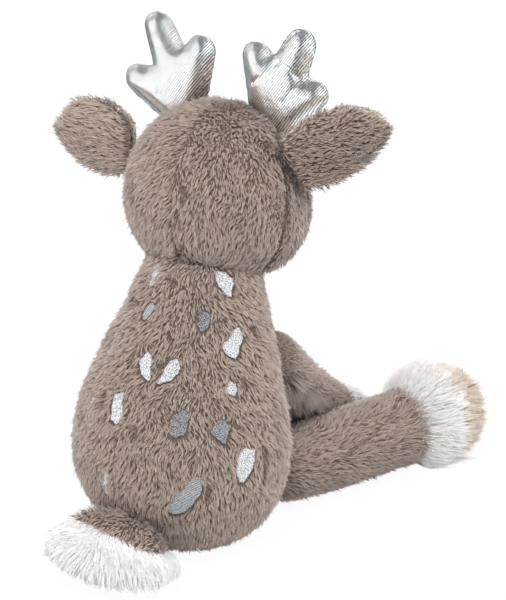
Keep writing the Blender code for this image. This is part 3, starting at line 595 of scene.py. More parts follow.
def cast_on(skin, pixels, steps=None):
    """Points on a piece along a line of pixels, a pixel apart unless the steps are given."""
    spots = []
    for (x0, y0), (x1, y1) in zip(pixels, pixels[1:]):
        count = steps or max(2, round(math.hypot(x1 - x0, y1 - y0)))
        for share in np.linspace(0, 1, count):
            ray = ray_through(x0 + (x1 - x0) * share, y0 + (y1 - y0) * share)
            spots.append(skin.ray_cast(camera_place, ray)[0])
    return [spot for spot in spots if spot is not None]


def combed(base, lines):
    """Factors for the length of pile near lines on a cushion that the photograph shows.

    Each line is its points in pixels, its half width in millimetres, and the factor on it.
    """
    skin = tree_of(base)
    marks = [(tree_at(cast_on(skin, line)), width * MM, factor) for line, width, factor in lines]

    def comb(roots):
        factors = np.ones(len(roots))
        for near, width, factor in marks:
            gaps = np.array([near.find(root)[2] for root in roots]) / width
            factors *= factor + (1 - factor) * np.clip((gaps - 0.4) / 0.6, 0, 1)
        return factors

    return comb


def outside_of(*bases, depth=3.0 * MM):
    """Keeps the roots that aren't buried deeper than this in another cushion."""
    trees = [tree_of(base) for base in bases]

    def keep(roots, normals):
        kept = np.ones(len(roots), bool)
        for number, root in enumerate(roots):
            place = Vector(root)
            for tree in trees:
                near, normal, _, gap = tree.find_nearest(place)
                if gap > depth and (place - near).dot(normal) < 0:
                    kept[number] = False
        return kept

    return keep


def nearest_to(node, others):
    """Keeps the roots whose nearest CAD node is this one."""
    trees = [tree_of(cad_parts[other]) for other in others]
    index = others.index(node)

    def keep(roots, normals):
        gaps = np.array([[tree.find_nearest(Vector(root))[3] for tree in trees] for root in roots])
        return gaps.argmin(axis=1) == index

    return keep


def both(*tests):
    def keep(roots, normals):
        kept = tests[0](roots, normals)
        for test in tests[1:]:
            kept[kept] = test(roots[kept], normals[kept])
        return kept

    return keep


# %% [markdown]
# ## Embroidered spots
# The spots are patches of metallic embroidery thread, which lie a little below the tips of
# the pile. Their outlines were traced in the photograph, and each is carried to the back
# by rays from the camera. Those that the photograph doesn't show take the outline of the
# CAD piece. The patch is filled with small triangles, laid on the curve of the back and
# given its thickness.

# %% Spot outlines
SPOT_OUTLINES = {
    "spot_01": (
        (216, 271), (219, 270), (224, 271), (228, 273), (231, 276.5), (235, 278), (236, 283),
        (234, 288), (233, 292), (233, 296), (231, 296), (228, 294), (224, 291), (222, 288.5),
        (219, 285), (217, 280), (216, 275),
    ),
    "spot_02": (
        (149, 302), (153, 304), (153.5, 307), (150, 311), (147, 315), (143, 319), (141, 318),
        (140.5, 314), (142, 310), (144, 306), (147, 303),
    ),
    "spot_03": (
        (199.5, 313), (203, 311), (208, 312), (211, 314), (212, 318), (211.5, 322), (209, 325),
        (207, 329), (203, 331), (200.5, 331), (198, 326), (197, 322), (199, 320), (197, 318),
    ),
    "spot_04": (
        (238, 327), (241, 327), (243, 330), (244.5, 334), (244.7, 338), (244, 342), (242, 345),
        (241, 346), (241, 349), (240.7, 353), (239, 356), (237, 358), (233, 357), (230, 355.5),
        (228, 354), (225.5, 351), (224, 348), (223, 344.5), (225.5, 342), (229, 340), (231, 337),
        (233, 332), (235, 330),
    ),
    "spot_05": (
        (145.5, 351), (149, 353), (150, 357), (151, 363), (148.5, 368), (150, 372), (149.5, 377),
        (147, 380.5), (144, 378), (140, 374), (138.5, 369), (139.5, 366), (136.5, 362),
        (138, 358.5), (142, 355.5),
    ),
    "spot_06": (
        (174.5, 358), (177.5, 359), (179, 363), (180, 369), (177, 373), (173, 377), (171, 380),
        (166, 381.5), (162, 382), (159, 384), (155, 383), (157.5, 379), (160, 376), (162.5, 372),
        (163.5, 368), (167, 364), (170, 360),
    ),
    "spot_07": (
        (231, 381), (234, 382), (237, 384), (238.6, 388), (239, 391), (237, 392.5), (237, 395.5),
        (235, 396), (233, 395), (231, 393.5), (227, 392.5), (226.5, 391), (228, 388), (229, 384),
        (230, 382),
    ),
    "spot_08": (
        (113, 393), (117, 392), (122, 392), (122, 397), (119, 402), (120.5, 407), (121, 413),
        (120.5, 418), (117, 422), (114, 425), (111.5, 422), (108, 419), (110, 413), (109.5, 407),
        (111, 400.5), (111.5, 395.5),
    ),
    "spot_09": (
        (184.5, 407), (188.5, 410), (189, 416), (188, 422), (186.5, 430), (184.5, 435),
        (180.5, 436), (176, 438), (172, 437), (168, 434), (167, 432), (169, 427), (169, 420.5),
        (172, 416), (178, 412), (182, 409),
    ),
    "spot_10": (
        (217, 421), (227, 420), (228, 424), (232, 426), (231, 431), (228, 439), (226, 446),
        (223.5, 443.5), (219, 440), (213, 435), (211, 432), (214, 427), (215.5, 423),
    ),
    "spot_11": (
        (247.5, 447.5), (252, 450), (258, 449), (257, 459), (255, 468.5), (251.5, 475),
        (246, 483), (241, 483.5), (240, 479.5), (238, 473), (238.5, 464), (238, 459.5),
        (243, 451.5),
    ),
    "spot_12": (
        (193, 479.5), (200, 478), (203, 482), (202, 491), (200, 497), (195, 503), (190, 510),
        (185, 514), (177, 516), (169, 515.5), (165.5, 512), (166, 510), (172, 503), (177, 496),
        (183, 491.5), (186, 486),
    ),
}
SPOT_DEPTH = 1.6 * MM
SPOT_CLOTH_THICKNESS = 1.2 * MM
SPOT_POINT_SPACING = 0.9 * MM
# Spots drawn in the grey thread, and spots drawn in the pale grey thread
GREY_SPOTS = ("spot_03", "spot_09", "spot_10")
PALE_SPOTS = ("spot_02", "spot_12")

# %% Spot patches
OUTLINE_CORNERS = 14
STITCH_RAG, POINT_RAG = 0.16 * MM, 0.2 * MM
torso_skin = rounded(copy_of("torso_skin", "torso", hull=True), CUSHION_VOXEL, 4)
skin_tree = tree_of(torso_skin)
bpy.data.objects.remove(torso_skin)

THREAD_ROW = 0.9 * MM
STITCH_GRAIN = 0.55 * MM


def thread_material(name, dark, light, rows):
    """Metallic embroidery thread: slanted rows of short foil stitches. Its light grain is partly
    the thread and partly painted glints.

    A real row is 0.4 mm wide. It is drawn twice as wide, because the render can't show that.
    """
    material, tree, shader = new_material(name, Roughness=0.5, Metallic=0.15)
    place = add_node(tree, "TexCoord")
    turned = add_node(
        tree, "Mapping", {"Vector": place.outputs["Object"], "Rotation": (0, math.radians(24), 0)}
    )
    grain = add_node(
        tree, "TexNoise",
        {"Vector": turned.outputs["Vector"], "Scale": 1 / STITCH_GRAIN, "Detail": 1.0},
    )
    row = add_node(
        tree, "TexWave",
        {
            "Vector": turned.outputs["Vector"],
            "Scale": math.pi / (10 * THREAD_ROW),
            "Distortion": 1.0,
        },
        bands_direction="Z",
    )
    height = add_node(
        tree, "Mix", {"Factor": rows, "A": grain.outputs["Fac"], "B": row.outputs["Fac"]}
    )
    show_pattern(
        tree, shader, height.outputs["Result"], ((0.36, dark), (0.62, light)), 0.25 * MM, 0.6
    )
    return material


silver_thread = thread_material("metallic_thread_silver", "74767A", "DDDFE0", 0.05)
grey_thread = thread_material("metallic_thread_grey", "3C3D3F", "989A9B", 0.05)
pale_thread = thread_material("metallic_thread_pale_grey", "5A5C60", "B2B5B7", 0.3)


def laid_on_skin(point, inward):
    """The place and the normal where a ray from outside meets the torso."""
    return skin_tree.ray_cast(point - inward * 30 * MM, inward)[:2]


def spot_frame(name):
    """The patch's middle, two directions along the skin, its normal, and its outline in them."""
    if name in SPOT_OUTLINES:
        hits = [skin_tree.ray_cast(camera_place, ray_through(x, y)) for x, y in SPOT_OUTLINES[name]]
        points = [hit[0] for hit in hits if hit[0] is not None]
    else:
        points = [v.co.copy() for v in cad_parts[name].data.vertices]
    centre = sum(points, Vector()) / len(points)
    near, normal, _, _ = skin_tree.find_nearest(centre)
    across = UP.cross(normal).normalized()
    upward = normal.cross(across)
    flat = [Vector(((p - near).dot(across), (p - near).dot(upward))) for p in points]
    if name not in SPOT_OUTLINES:
        outline = []
        for step in range(OUTLINE_CORNERS):
            turn = step * 2 * math.pi / OUTLINE_CORNERS
            reach = max(f.x * math.cos(turn) + f.y * math.sin(turn) for f in flat)
            reach *= 1 + 0.14 * math.sin(3 * turn + len(name) + int(name[-2:]))
            outline.append(Vector((math.cos(turn), math.sin(turn))) * reach * 0.94)
        flat = outline
    return near, across, upward, normal, flat


def fine_outline(flat, spacing, rng):
    """The outline with points at the spacing, each a little off the line as stitch ends are."""
    found = []
    for start, end in zip(flat, flat[1:] + flat[:1]):
        steps = max(1, round((end - start).length / spacing))
        for step in range(steps):
            point = start.lerp(end, step / steps)
            found.append(point + Vector(rng.normal(scale=STITCH_RAG, size=2)))
    return found


spot_frames = {}
spot_rng = np.random.default_rng(41)
for number in range(1, 21):
    name = f"spot_{number:02d}"
    near, across, upward, normal, flat = spot_frames[name] = spot_frame(name)
    rim = fine_outline(flat, SPOT_POINT_SPACING, spot_rng)
    low = Vector((min(p.x for p in rim), min(p.y for p in rim)))
    high = Vector((max(p.x for p in rim), max(p.y for p in rim)))
    inner = [
        Vector((x, y)) + Vector(spot_rng.uniform(-POINT_RAG, POINT_RAG, size=2))
        for x in np.arange(low.x, high.x, SPOT_POINT_SPACING)
        for y in np.arange(low.y, high.y, SPOT_POINT_SPACING)
    ]
    edges = [(i, (i + 1) % len(rim)) for i in range(len(rim))]
    points, _, faces, *_ = delaunay_2d_cdt(rim + inner, edges, [], 1, 0.02 * MM)
    shape = bmesh.new()
    corners = []
    for point in points:
        place, slope = laid_on_skin(near + across * point.x + upward * point.y, -normal)
        if place is None:
            place, slope = near + across * point.x + upward * point.y, normal
        corners.append(shape.verts.new(place - slope * SPOT_DEPTH))
    for face in faces:
        shape.faces.new([corners[i] for i in face])
    bmesh.ops.delete(shape, geom=[v for v in shape.verts if not v.link_faces], context="VERTS")
    bmesh.ops.recalc_face_normals(shape, faces=shape.faces)
    if sum((f.normal for f in shape.faces), Vector()).dot(normal) < 0:
        bmesh.ops.reverse_faces(shape, faces=shape.faces)
    mesh = bpy.data.meshes.new(name + "_stitched")
    shape.to_mesh(mesh)
    shape.free()
    patch = new_piece(name + "_stitched", mesh)
    apply_modifier(patch, "SOLIDIFY", thickness=SPOT_CLOTH_THICKNESS, offset=-1)
    patch.data.shade_smooth()
    grey = name in GREY_SPOTS
    non_grey_thread = pale_thread if name in PALE_SPOTS else silver_thread
    patch.data.materials.append(grey_thread if grey else non_grey_thread)
    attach(patch, "torso")
    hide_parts(name)
print(f"{len(spot_frames)} embroidered patches")

# %% [markdown]
# ## Pile of the torso and the head
# The pile lies down the back and from the crown backward, away from the head's middle seam.
# It leaves the spots bare: no strand has its root, its middle or its tip over a patch. The
# dark lines in the photograph's pile, at seams and in folds, are places where it is short,
# and there a strand ends in the darker colour of the pile's depth, which is painted shade.

# %% Pile kept off the spots
# Spots on the left flank, which the pile beside them hides for the most part: the shares of
# their width and height that stay bare
OVERHUNG = {
    "spot_13": (0.2, 0.85), "spot_14": (0.15, 0.15),
    "spot_15": (0.15, 0.15), "spot_16": (0.22, 0.85),
}
WHOLE = (1.0, 1.0)
ROOTS_BARE, MIDDLES_BARE, TIPS_BARE = 0.96, 0.91, 0.86
PATCH_REACH = 14 * MM


def in_outline(points, name, factor=1.0):
    """Whether each point lies inside the patch's outline, which is scaled about its middle."""
    near, across, upward, normal, flat = spot_frames[name]
    offset = points - np.array(near)
    x, y = offset @ np.array(across), offset @ np.array(upward)
    close = np.abs(offset @ np.array(normal)) < PATCH_REACH
    mid = sum(flat, Vector((0, 0))) / len(flat)
    inside = np.zeros(len(points), bool)
    shares = Vector(OVERHUNG.get(name, WHOLE)) * factor
    outline = [mid + (p - mid) * shares for p in flat]
    for start, end in zip(outline, outline[1:] + outline[:1]):
        crosses = (start.y > y) != (end.y > y)
        span = end.y - start.y if abs(end.y - start.y) > 1e-9 else 1e-9
        inside ^= crosses & (x < (end.x - start.x) * (y - start.y) / span + start.x)
    return inside & close


def clear_of_spots(roots, normals):
    kept = np.ones(len(roots), bool)
    for name in spot_frames:
        kept &= ~in_outline(roots, name, ROOTS_BARE)
    return kept


def tips_off_spots(roots, tips):
    kept = np.ones(len(roots), bool)
    for name in spot_frames:
        kept &= ~in_outline(tips, name, TIPS_BARE)
        kept &= ~in_outline((roots + tips) / 2, name, MIDDLES_BARE)
    return kept


print(f"{len(OVERHUNG)} of {len(spot_frames)} spots lie under pile for the most part")

# %% Torso and head pile
HEAD_MIDDLE = Vector((0, -33, 185)) * MM


def down_the_back(roots, normals):
    return np.array([0.0, 0.0, -1.0])


def from_the_crown(roots, normals):
    """Backward over the crown, down the back of the head, and away from its middle seam."""
    aside = np.sign(roots[:, 0] - HEAD_MIDDLE.x)[:, None]
    return np.array([0.08, 0.8, -0.9]) + aside * np.array([[0.35, 0.0, 0.0]])


# Lines with a factor under 1 are seams and folds, where the short pile ends in painted shade
TORSO_LINES = (
    (((172, 277), (176, 281)), 2.6, 0.35),
    (((137, 297), (142, 301)), 2.8, 0.35),
    (((198, 310), (194, 318)), 2.2, 0.45),
    (((246, 323), (250, 327), (251, 335)), 2.6, 0.35),
    (((137, 353), (134, 361)), 2.2, 0.45),
    (((170, 356), (160, 366)), 2.6, 0.4),
    (((240, 377), (243, 384)), 2.4, 0.4),
    (((110, 391), (106, 404)), 2.6, 0.45),
    (((86, 402), (88, 414)), 2.4, 0.5),
    (((174, 410), (167, 418)), 2.0, 0.5),
    (((212, 421), (207, 432)), 2.0, 0.5),
    (((230, 418), (236, 424)), 2.6, 0.4),
    (((139, 424), (136, 436)), 2.2, 0.35),
    (((260, 445), (264, 452), (261, 474)), 3.0, 0.4),
    (((207, 483), (206, 496)), 2.8, 0.4),
    (((168, 521), (182, 520), (199, 512)), 3.0, 1.6),
    # Longer where the torso's side meets the leg
    (((273, 398), (276, 420), (278, 440)), 8, 1.9),
)
# Seams on the head, where the short pile ends in painted shade
HEAD_LINES = (
    (
        ((272, 122), (275, 140), (279, 160), (285, 188), (286, 210), (284, 226), (278, 246)),
        2.3, 0.3,
    ),
    (((278, 246), (270, 262), (264, 283)), 2.4, 0.45),
    (((184, 118), (180, 150), (178, 182)), 2.0, 0.7),
    (((184, 186), (187, 192)), 3.0, 0.35),
    (((180, 211), (180, 216)), 2.2, 0.4),
    (((182, 240), (179, 250)), 2.6, 0.35),
)

grow_pile(
    "torso_pile", torso, "torso", "brown_plush", brown_pile, flow=down_the_back, seed=11,
    keep=both(clear_of_spots, outside_of(head)), comb=combed(torso, TORSO_LINES),
    only=tips_off_spots,
)
grow_pile(
    "head_pile", head, "head", "brown_plush", brown_pile, flow=from_the_crown, seed=12,
    keep=both(nearest_to("head", ["head", "muzzle"]), outside_of(torso)),
    comb=combed(head, HEAD_LINES),
)
grow_pile(
    "muzzle_pile", head, "head", "cream_plush", cream_pile, flow=from_the_crown, seed=13,
    keep=nearest_to("muzzle", ["head", "muzzle"]), length=4.5,
)


# %% [markdown]
# ## Pile of the limbs, the ears and the tail
# The brown pile of a limb is stroked toward its end. The white fur is a longer and silkier
# fibre, so its strands are thinner and keep together less, and it fans out from the seam
# where it begins. The ears are lined with a short cream plush.

# %% Limb piles
# Where the pile of the arm is short at its root, as a share of the arm's length, and by how much
ROOT_SHARE, ROOT_CUT = 0.3, 0.6
# The stretch of the arm with a fringe, and how far down its skin has to face
FRINGE_FROM, FRINGE_TO, FACING_DOWN = 0.05, 0.72, -0.3
# The height under which the fur of the foot is longer, over what height, and by how much
FLOOR_FUR_TOP, FLOOR_FUR_OVER, FLOOR_FUR_EXTRA = 16 * MM, 10 * MM, 0.8
# A crease on the right leg, where the short pile ends in painted shade
LEG_LINES = (
    (((404, 397), (385, 420), (360, 444), (332, 462)), 1.8, 0.6),
)


def flow_to(direction):
    direction = np.array(direction)
    return lambda roots, normals: direction


def fan_from(point, direction, share=1.0):
    """Outward from a line along the direction through the point, and along it."""
    point, direction = np.array(point), np.array(Vector(direction).normalized())

    def flow(roots, normals):
        offset = roots - point
        outward = offset - (offset @ direction)[:, None] * direction
        return unit(outward) * share + direction

    return flow


def length_shares(places, way):
    """Where each place lies between the lowest and the highest along a direction, 0 to 1."""
    along = np.array(places) @ np.array(way)
    return (along - along.min()) / (along.max() - along.min())


def on_the_floor(roots):
    """Longer where the fur of the foot lies on the floor."""
    return 1 + FLOOR_FUR_EXTRA * np.clip((FLOOR_FUR_TOP - roots[:, 2]) / FLOOR_FUR_OVER, 0, 1)


SILKY = dict(
    rings=(0.55,), tuft=1.0, pull=(0.0, 0.08), stray=6, wander_turn=14, skin_shade=1.0, unruly=2
)
CUFF_WHITE_SHARE = 0.18
FOOT_RAG, FOOT_RAG_SIZE = 2.5 * MM, 5 * MM

for order, side in enumerate(SIDES):
    arm_nodes = [f"arm_{side}", f"paw_{side}"]
    to_paw = (middle(arm_nodes[1]) - middle(arm_nodes[0])).normalized()

    def arm_comb(roots, way=to_paw, centre=np.array(middle(arm_nodes[0]))):
        """Short on top of the root, where the seam to the torso holds the pile down, so that its
        strands end in the painted shade of the pile's depth.
        """
        near = np.clip(1 - length_shares(roots, way) / ROOT_SHARE, 0, 1)
        return 1 - ROOT_CUT * near * (roots[:, 2] > centre[2])

    def below_arm(roots, normals, way=to_paw):
        shares = length_shares(roots, way)
        stretch = (shares > FRINGE_FROM) & (shares < FRINGE_TO)
        return stretch & (normals[:, 2] < FACING_DOWN)

    brown_of_arm = both(nearest_to(arm_nodes[0], arm_nodes), outside_of(torso))
    # The arm's pile takes a low tone, which is painted shade of the torso above it
    grow_pile(
        f"arm_{side}_pile", arms[side], f"arm_{side}", "brown_plush", brown_pile,
        flow=flow_to(to_paw), seed=20 + 10 * order, comb=arm_comb, tone=0.02, keep=brown_of_arm,
    )
    # Longer pile hangs from the underside down to the leg. Its darkest tone is painted shade under
    # the arm
    grow_pile(
        f"arm_{side}_fringe", arms[side], f"arm_{side}", "brown_plush", brown_pile,
        flow=flow_to(to_paw), seed=22 + 10 * order, length=14, lean=22, tuft=3.2, tone=0.0,
        pull=(0.25, 0.8), stray=26, wander_turn=40,
        keep=both(brown_of_arm, below_arm),
    )
    grow_pile(
        f"paw_{side}_pile", arms[side], f"arm_{side}", "white_fur", white_pile,
        flow=flow_to(to_paw), seed=21 + 10 * order, length=9, radius=0.15, per_mm2=2.6,
        keep=both(nearest_to(arm_nodes[1], arm_nodes), outside_of(torso)), **SILKY,
    )
    leg_nodes = [f"leg_{side}", f"cuff_{side}", f"sole_{side}"]
    to_foot = (middle(leg_nodes[2]) - middle(leg_nodes[0])).normalized()
    on_leg = nearest_to(leg_nodes[0], leg_nodes)
    # The leg's pile takes a lower tone, which is painted shade
    grow_pile(
        f"leg_{side}_pile", legs[side], f"leg_{side}", "brown_plush", brown_pile,
        flow=flow_to(to_foot), seed=24 + 10 * order, tone=0.14,
        keep=both(on_leg, outside_of(torso)),
        comb=combed(legs[side], LEG_LINES) if side == "right" else None,
    )
    ends = [middle(node).dot(to_foot) for node in leg_nodes[1:]]
    turn_beige = ends[0] + (ends[1] - ends[0]) * CUFF_WHITE_SHARE

    def on_foot(roots, normals, on_leg=on_leg):
        return ~on_leg(roots, normals)

    def on_sole(roots, normals, way=np.array(to_foot), start=turn_beige):
        """Past the line where white turns to beige, which is ragged."""
        ragged = FOOT_RAG * wander(roots, FOOT_RAG_SIZE, np.random.default_rng(51))
        return roots @ way > start + ragged

    def on_cuff(roots, normals, on_sole=on_sole):
        return ~on_sole(roots, normals)

    grow_pile(
        f"cuff_{side}_pile", legs[side], f"leg_{side}", "white_fur", shaded_white_pile,
        flow=fan_from(middle(leg_nodes[0]), to_foot, 0.3), seed=25 + 10 * order, length=11,
        lean=60, radius=0.13, per_mm2=4.0, keep=both(on_foot, on_cuff), comb=on_the_floor,
        lift=0.7, **SILKY,
    )
    grow_pile(
        f"sole_{side}_pile", legs[side], f"leg_{side}", "beige_fur", beige_pile,
        flow=fan_from(middle(leg_nodes[1]), to_foot, 0.8), seed=26 + 10 * order, length=10,
        lean=44, radius=0.16, per_mm2=3.0, keep=both(on_foot, on_sole), lift=0.7, tone=0.4,
        **dict(SILKY, tuft=2.2, pull=(0.05, 0.45), stray=12, unruly=7),
    )
    ear_nodes = [f"ear_back_{side}", f"ear_lining_{side}"]
    to_tip = (middle(ear_nodes[0]) - HEAD_MIDDLE).normalized()
    grow_pile(
        f"ear_back_{side}_pile", ears[side], f"ear_{side}", "brown_plush", brown_pile,
        flow=flow_to(to_tip), seed=27 + 10 * order, length=5.6,
        keep=both(nearest_to(ear_nodes[0], ear_nodes), outside_of(head)),
    )
    grow_pile(
        f"ear_lining_{side}_pile", ears[side], f"ear_{side}", "cream_plush", cream_pile,
        flow=flow_to(to_tip), seed=28 + 10 * order, length=3.2, lean=66,
        keep=both(nearest_to(ear_nodes[1], ear_nodes), outside_of(head)),
    )

# %% Tail pile
# The height under which the fur of the tail is shorter, over what height, and by how much
PRESSED_TOP, PRESSED_OVER, PRESSED_CUT = 12 * MM, 6 * MM, 0.65
# The white fur of the tail fans out from a point in its brown root
TAIL_FAN = (7 * MM, 50 * MM, 34 * MM)
# The seam between brown and white on the tail's top, in the photograph's pixels
TAIL_SEAM = ((60, 512), (75, 518), (92, 523), (108, 530), (120, 536), (144, 549), (171, 553))


def in_brush(roots, normals):
    """Where the tail is white: past its seam, and all of its underside."""
    x, y = pixels_of(roots)
    seam = np.interp(x, *np.array(TAIL_SEAM).T)
    return (y > seam) | (normals[:, 2] < FACING_DOWN)


def short_below(roots):
    """Short on the underside, where the toy's weight presses the fur to the floor."""
    return 1 - PRESSED_CUT * np.clip((PRESSED_TOP - roots[:, 2]) / PRESSED_OVER, 0, 1)


# The tail's brown pile takes a high tone, which is painted light
grow_pile(
    "tail_pile", tail, "tail", "brown_plush", brown_pile, flow=flow_to((0, 1, -0.2)), seed=45,
    keep=both(lambda roots, normals: ~in_brush(roots, normals), outside_of(torso)),
    length=5.6, pull=(0.05, 0.4), tone=0.75,
)
grow_pile(
    "tail_brush_pile", tail, "tail", "white_fur", white_pile,
    flow=fan_from(TAIL_FAN, (0, 0.9, 0.1), 1.6), seed=46, length=9.2, lean=73,
    radius=0.11, per_mm2=5.2, keep=both(in_brush, outside_of(torso)), comb=short_below,
    lift=0.8, **dict(SILKY, stray=4, wander_turn=10),
)
print(f"{sum(triangles)} triangles of pile")

# %% [markdown]
# ## Silver antlers
# The antlers are two pieces of lamé, a cloth woven with flat metal-coated film, sewn round
# their edge and stuffed hard. The foil mirrors the white studio in the middle of a tine and
# the darker room beside it along its sides. The seam stands out as a narrow rim, and its
# stitches draw the cloth into small puckers. The diagonal rib of the weave is about half a
# millimetre wide. It is drawn twice as wide, because a finer one can't show in the render.

# %% Lamé
LAME_RIB = 1.15 * MM
LAME_CRINKLE = 8 * MM

lame, tree, shader = new_material("woven_lame_silver", Roughness=0.22, Metallic=1.0)
place = add_node(tree, "TexCoord")
turned = add_node(
    tree, "Mapping", {"Vector": place.outputs["Object"], "Rotation": (0, math.radians(35), 0)}
)
ribs = add_node(
    tree, "TexWave",
    {"Vector": turned.outputs["Vector"], "Scale": math.pi / (10 * LAME_RIB), "Distortion": 0.5},
    bands_direction="X",
)
crinkle = add_node(
    tree, "TexNoise", {"Vector": place.outputs["Object"], "Scale": 1 / LAME_CRINKLE, "Detail": 1.0}
)
grain = add_node(
    tree, "TexNoise", {"Vector": turned.outputs["Vector"], "Scale": 1 / LAME_RIB, "Detail": 1.0}
)
weave = add_node(tree, "Mix", {"Factor": 0.35, "A": grain.outputs["Fac"], "B": ribs.outputs["Fac"]})
folds = add_node(
    tree, "Bump", {"Height": crinkle.outputs["Fac"], "Distance": 1.0 * MM, "Strength": 0.3}
)
show_pattern(
    tree, shader, weave.outputs["Result"], ((0.3, "8C9296"), (0.56, "FFFFFF")), 0.18 * MM, 1.0,
    under=folds.outputs["Normal"],
)
print(f"{lame.name}: ribs {LAME_RIB / MM:.2f} mm apart")

# %% Antlers
# The antlers' own directions, turned six degrees from the toy's. The other sizes of this
# cell are of the seam, its puckers and the creases, in millimetres.
ANTLER_ACROSS = Vector((0.99452, 0.10453, 0))
ANTLER_THROUGH = Vector((-0.10453, 0.99452, 0))
PUFF_WIDTH, PUFF_DEPTH = 11 * MM, 8 * MM
RIM_RISE, RIM_WIDTH = 0.7, 0.8
PUCKER_RISE, PUCKER_WIDTH, PUCKER_LENGTH = 0.16, 4.0, 3.6
CREASE_DEPTH, CREASE_WIDTH = 0.8, 1.2
CREASE_STEPS = 12
ANTLER_VOXEL = 1.1 * MM
# Creases where the tines begin, and the line up to which their cloth is one palm: a pixel of
# the photograph on it, and its slope
CREASES = {
    "left": (((156, 72), (159, 94)),),
    "right": (
        ((276, 64), (264, 74), (252, 83)),
        ((278, 62), (288, 69), (299, 78)),
        ((300, 83), (290, 92), (283, 102)),
    ),
}
PALM_LINES = {"left": (155, 71, -0.5), "right": (275, 66, 0.5)}


def palm_filled(piece, line):
    """Adds the hull of what lies below the line, so that cloth spans between the tines."""
    x0, y0, slope = line
    points = np.array([v.co for v in piece.data.vertices])
    x, y = pixels_of(points)
    shape = bmesh.new()
    for point in points[y > y0 + slope * (x - x0)]:
        shape.verts.new(point)
    keep_hull(shape)
    shape.from_mesh(piece.data)
    shape.to_mesh(piece.data)
    shape.free()
    return piece


def puffed(piece, centre):
    """Sets the thickness by the distance from the seam, so that each tine is round."""
    flat_places, edge = [], []
    for vertex in piece.data.vertices:
        offset = vertex.co - centre
        flat = Vector((offset.dot(ANTLER_ACROSS), offset.z, 0))
        flat_places.append(flat)
        if abs(vertex.normal.dot(ANTLER_THROUGH)) < 0.25:
            edge.append(flat)
    seam = tree_at(edge)
    for vertex, flat in zip(piece.data.vertices, flat_places):
        share = min(1.0, seam.find(flat)[2] / PUFF_WIDTH)
        half = PUFF_DEPTH * (1 - (1 - share) ** 2)
        through = (vertex.co - centre).dot(ANTLER_THROUGH)
        wanted = max(-half, min(half, through)) if share < 0.1 else math.copysign(half, through)
        vertex.co += ANTLER_THROUGH * (wanted - through)
    piece.data.update()
    return rounded(piece, ANTLER_VOXEL, 6)


for side in SIDES:
    node = f"antler_{side}"
    whole = palm_filled(copy_of(f"{node}_stuffed", node), PALM_LINES[side])
    centre = middle(node)
    antler = puffed(rounded(whole, ANTLER_VOXEL, 8), centre)
    skin = tree_of(antler)
    near_crease = tree_at(
        [spot for line in CREASES[side] for spot in cast_on(skin, line, CREASE_STEPS)]
    )
    moved = []
    for vertex in antler.data.vertices:
        offset = (vertex.co - centre) / MM
        through = offset.dot(ANTLER_THROUGH)
        rim = math.exp(-((through / RIM_WIDTH) ** 2))
        along = offset.dot(ANTLER_ACROSS) * 0.9 + offset.z * 1.1
        pucker = math.exp(-((through / PUCKER_WIDTH) ** 2)) * math.sin(
            along * 2 * math.pi / PUCKER_LENGTH
        )
        crease = math.exp(-((near_crease.find(vertex.co)[2] / MM / CREASE_WIDTH) ** 2))
        rise = RIM_RISE * rim + PUCKER_RISE * pucker * (1 - rim) - CREASE_DEPTH * crease
        moved.append(vertex.co + vertex.normal * rise * MM)
    for vertex, point in zip(antler.data.vertices, moved):
        vertex.co = point
    antler.data.update()
    antler.data.materials.append(lame)
    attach(antler, node)
    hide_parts(node)
    print(f"{antler.name}: {len(antler.data.polygons)} faces")

# %% [markdown]
# ## The face, the seat and the filling
# The photograph shows none of these, so they are what such toys have: moulded eyes held by
# a washer inside the head, a satin-stitched nose, a plain seat panel, a bag of plastic
# pellets that makes the toy sit, and a wad of polyester filling in the neck.


# %% Face and inner pieces
def grained_material(name, dark, light, size, bump_height, **values):
    """A material whose colour and bump follow a fine grain of the size given."""
    material, tree, shader = new_material(name, **values)
    place = add_node(tree, "TexCoord")
    grain = add_node(
        tree, "TexNoise", {"Vector": place.outputs["Object"], "Scale": 1 / size, "Detail": 2.0}
    )
    show_pattern(
        tree, shader, grain.outputs["Fac"], ((0.35, dark), (0.65, light)), bump_height, 0.5
    )
    return material


# Polished ABS: deep black with a sharp highlight. Its bump is only the slight wave of moulding
eye_plastic = grained_material(
    "polished_abs_black", "0A0808", "14100E", 6 * MM, 0.02 * MM, Roughness=0.08
)
washer_plastic = grained_material(
    "moulded_polyethylene_white", "DCDCDA", "ECECEA", 2 * MM, 0.05 * MM, Roughness=0.45
)
for side in SIDES:
    for node, material in ((f"eye_{side}", eye_plastic), (f"eye_washer_{side}", washer_plastic)):
        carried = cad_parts[node]
        carried.data.materials.clear()
        carried.data.materials.append(material)

NOSE_STITCH = 0.6 * MM
satin, tree, shader = new_material("satin_stitch_dark_brown", Roughness=0.42, Sheen_Weight=0.2)
place = add_node(tree, "TexCoord")
stitch = add_node(
    tree, "TexWave",
    {"Vector": place.outputs["Object"], "Scale": math.pi / (10 * NOSE_STITCH), "Distortion": 0.8},
    bands_direction="X",
)
show_pattern(
    tree, shader, stitch.outputs["Fac"], ((0.2, "1E1714"), (0.9, "43352D")), 0.3 * MM, 0.8
)
nose = rounded(copy_of("nose_stitched", "nose"), 0.5 * MM, 3)
nose.data.materials.append(satin)
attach(nose, "head")
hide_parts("nose")

seat_cloth = cloth_material("knitted_seat_brown", "7A6A60", "95857A")
lining_cloth = cloth_material("woven_lining_white", "CFCBC5", "E6E3DE")
wadding = grained_material(
    "polyester_filling", "DAD9D6", "F1F0EE", 2.5 * MM, 1.0 * MM, Roughness=0.95
)
cushion(
    "seat_panel_cloth", "torso", {"seat_panel": seat_cloth}, voxel=1.0 * MM,
    depth=0,
)
cushion("pellet_bag_cloth", "torso", {"pellet_bag": lining_cloth}, depth=0)
cushion("neck_filling_wad", "neck", {"neck_filling": wadding}, depth=0)

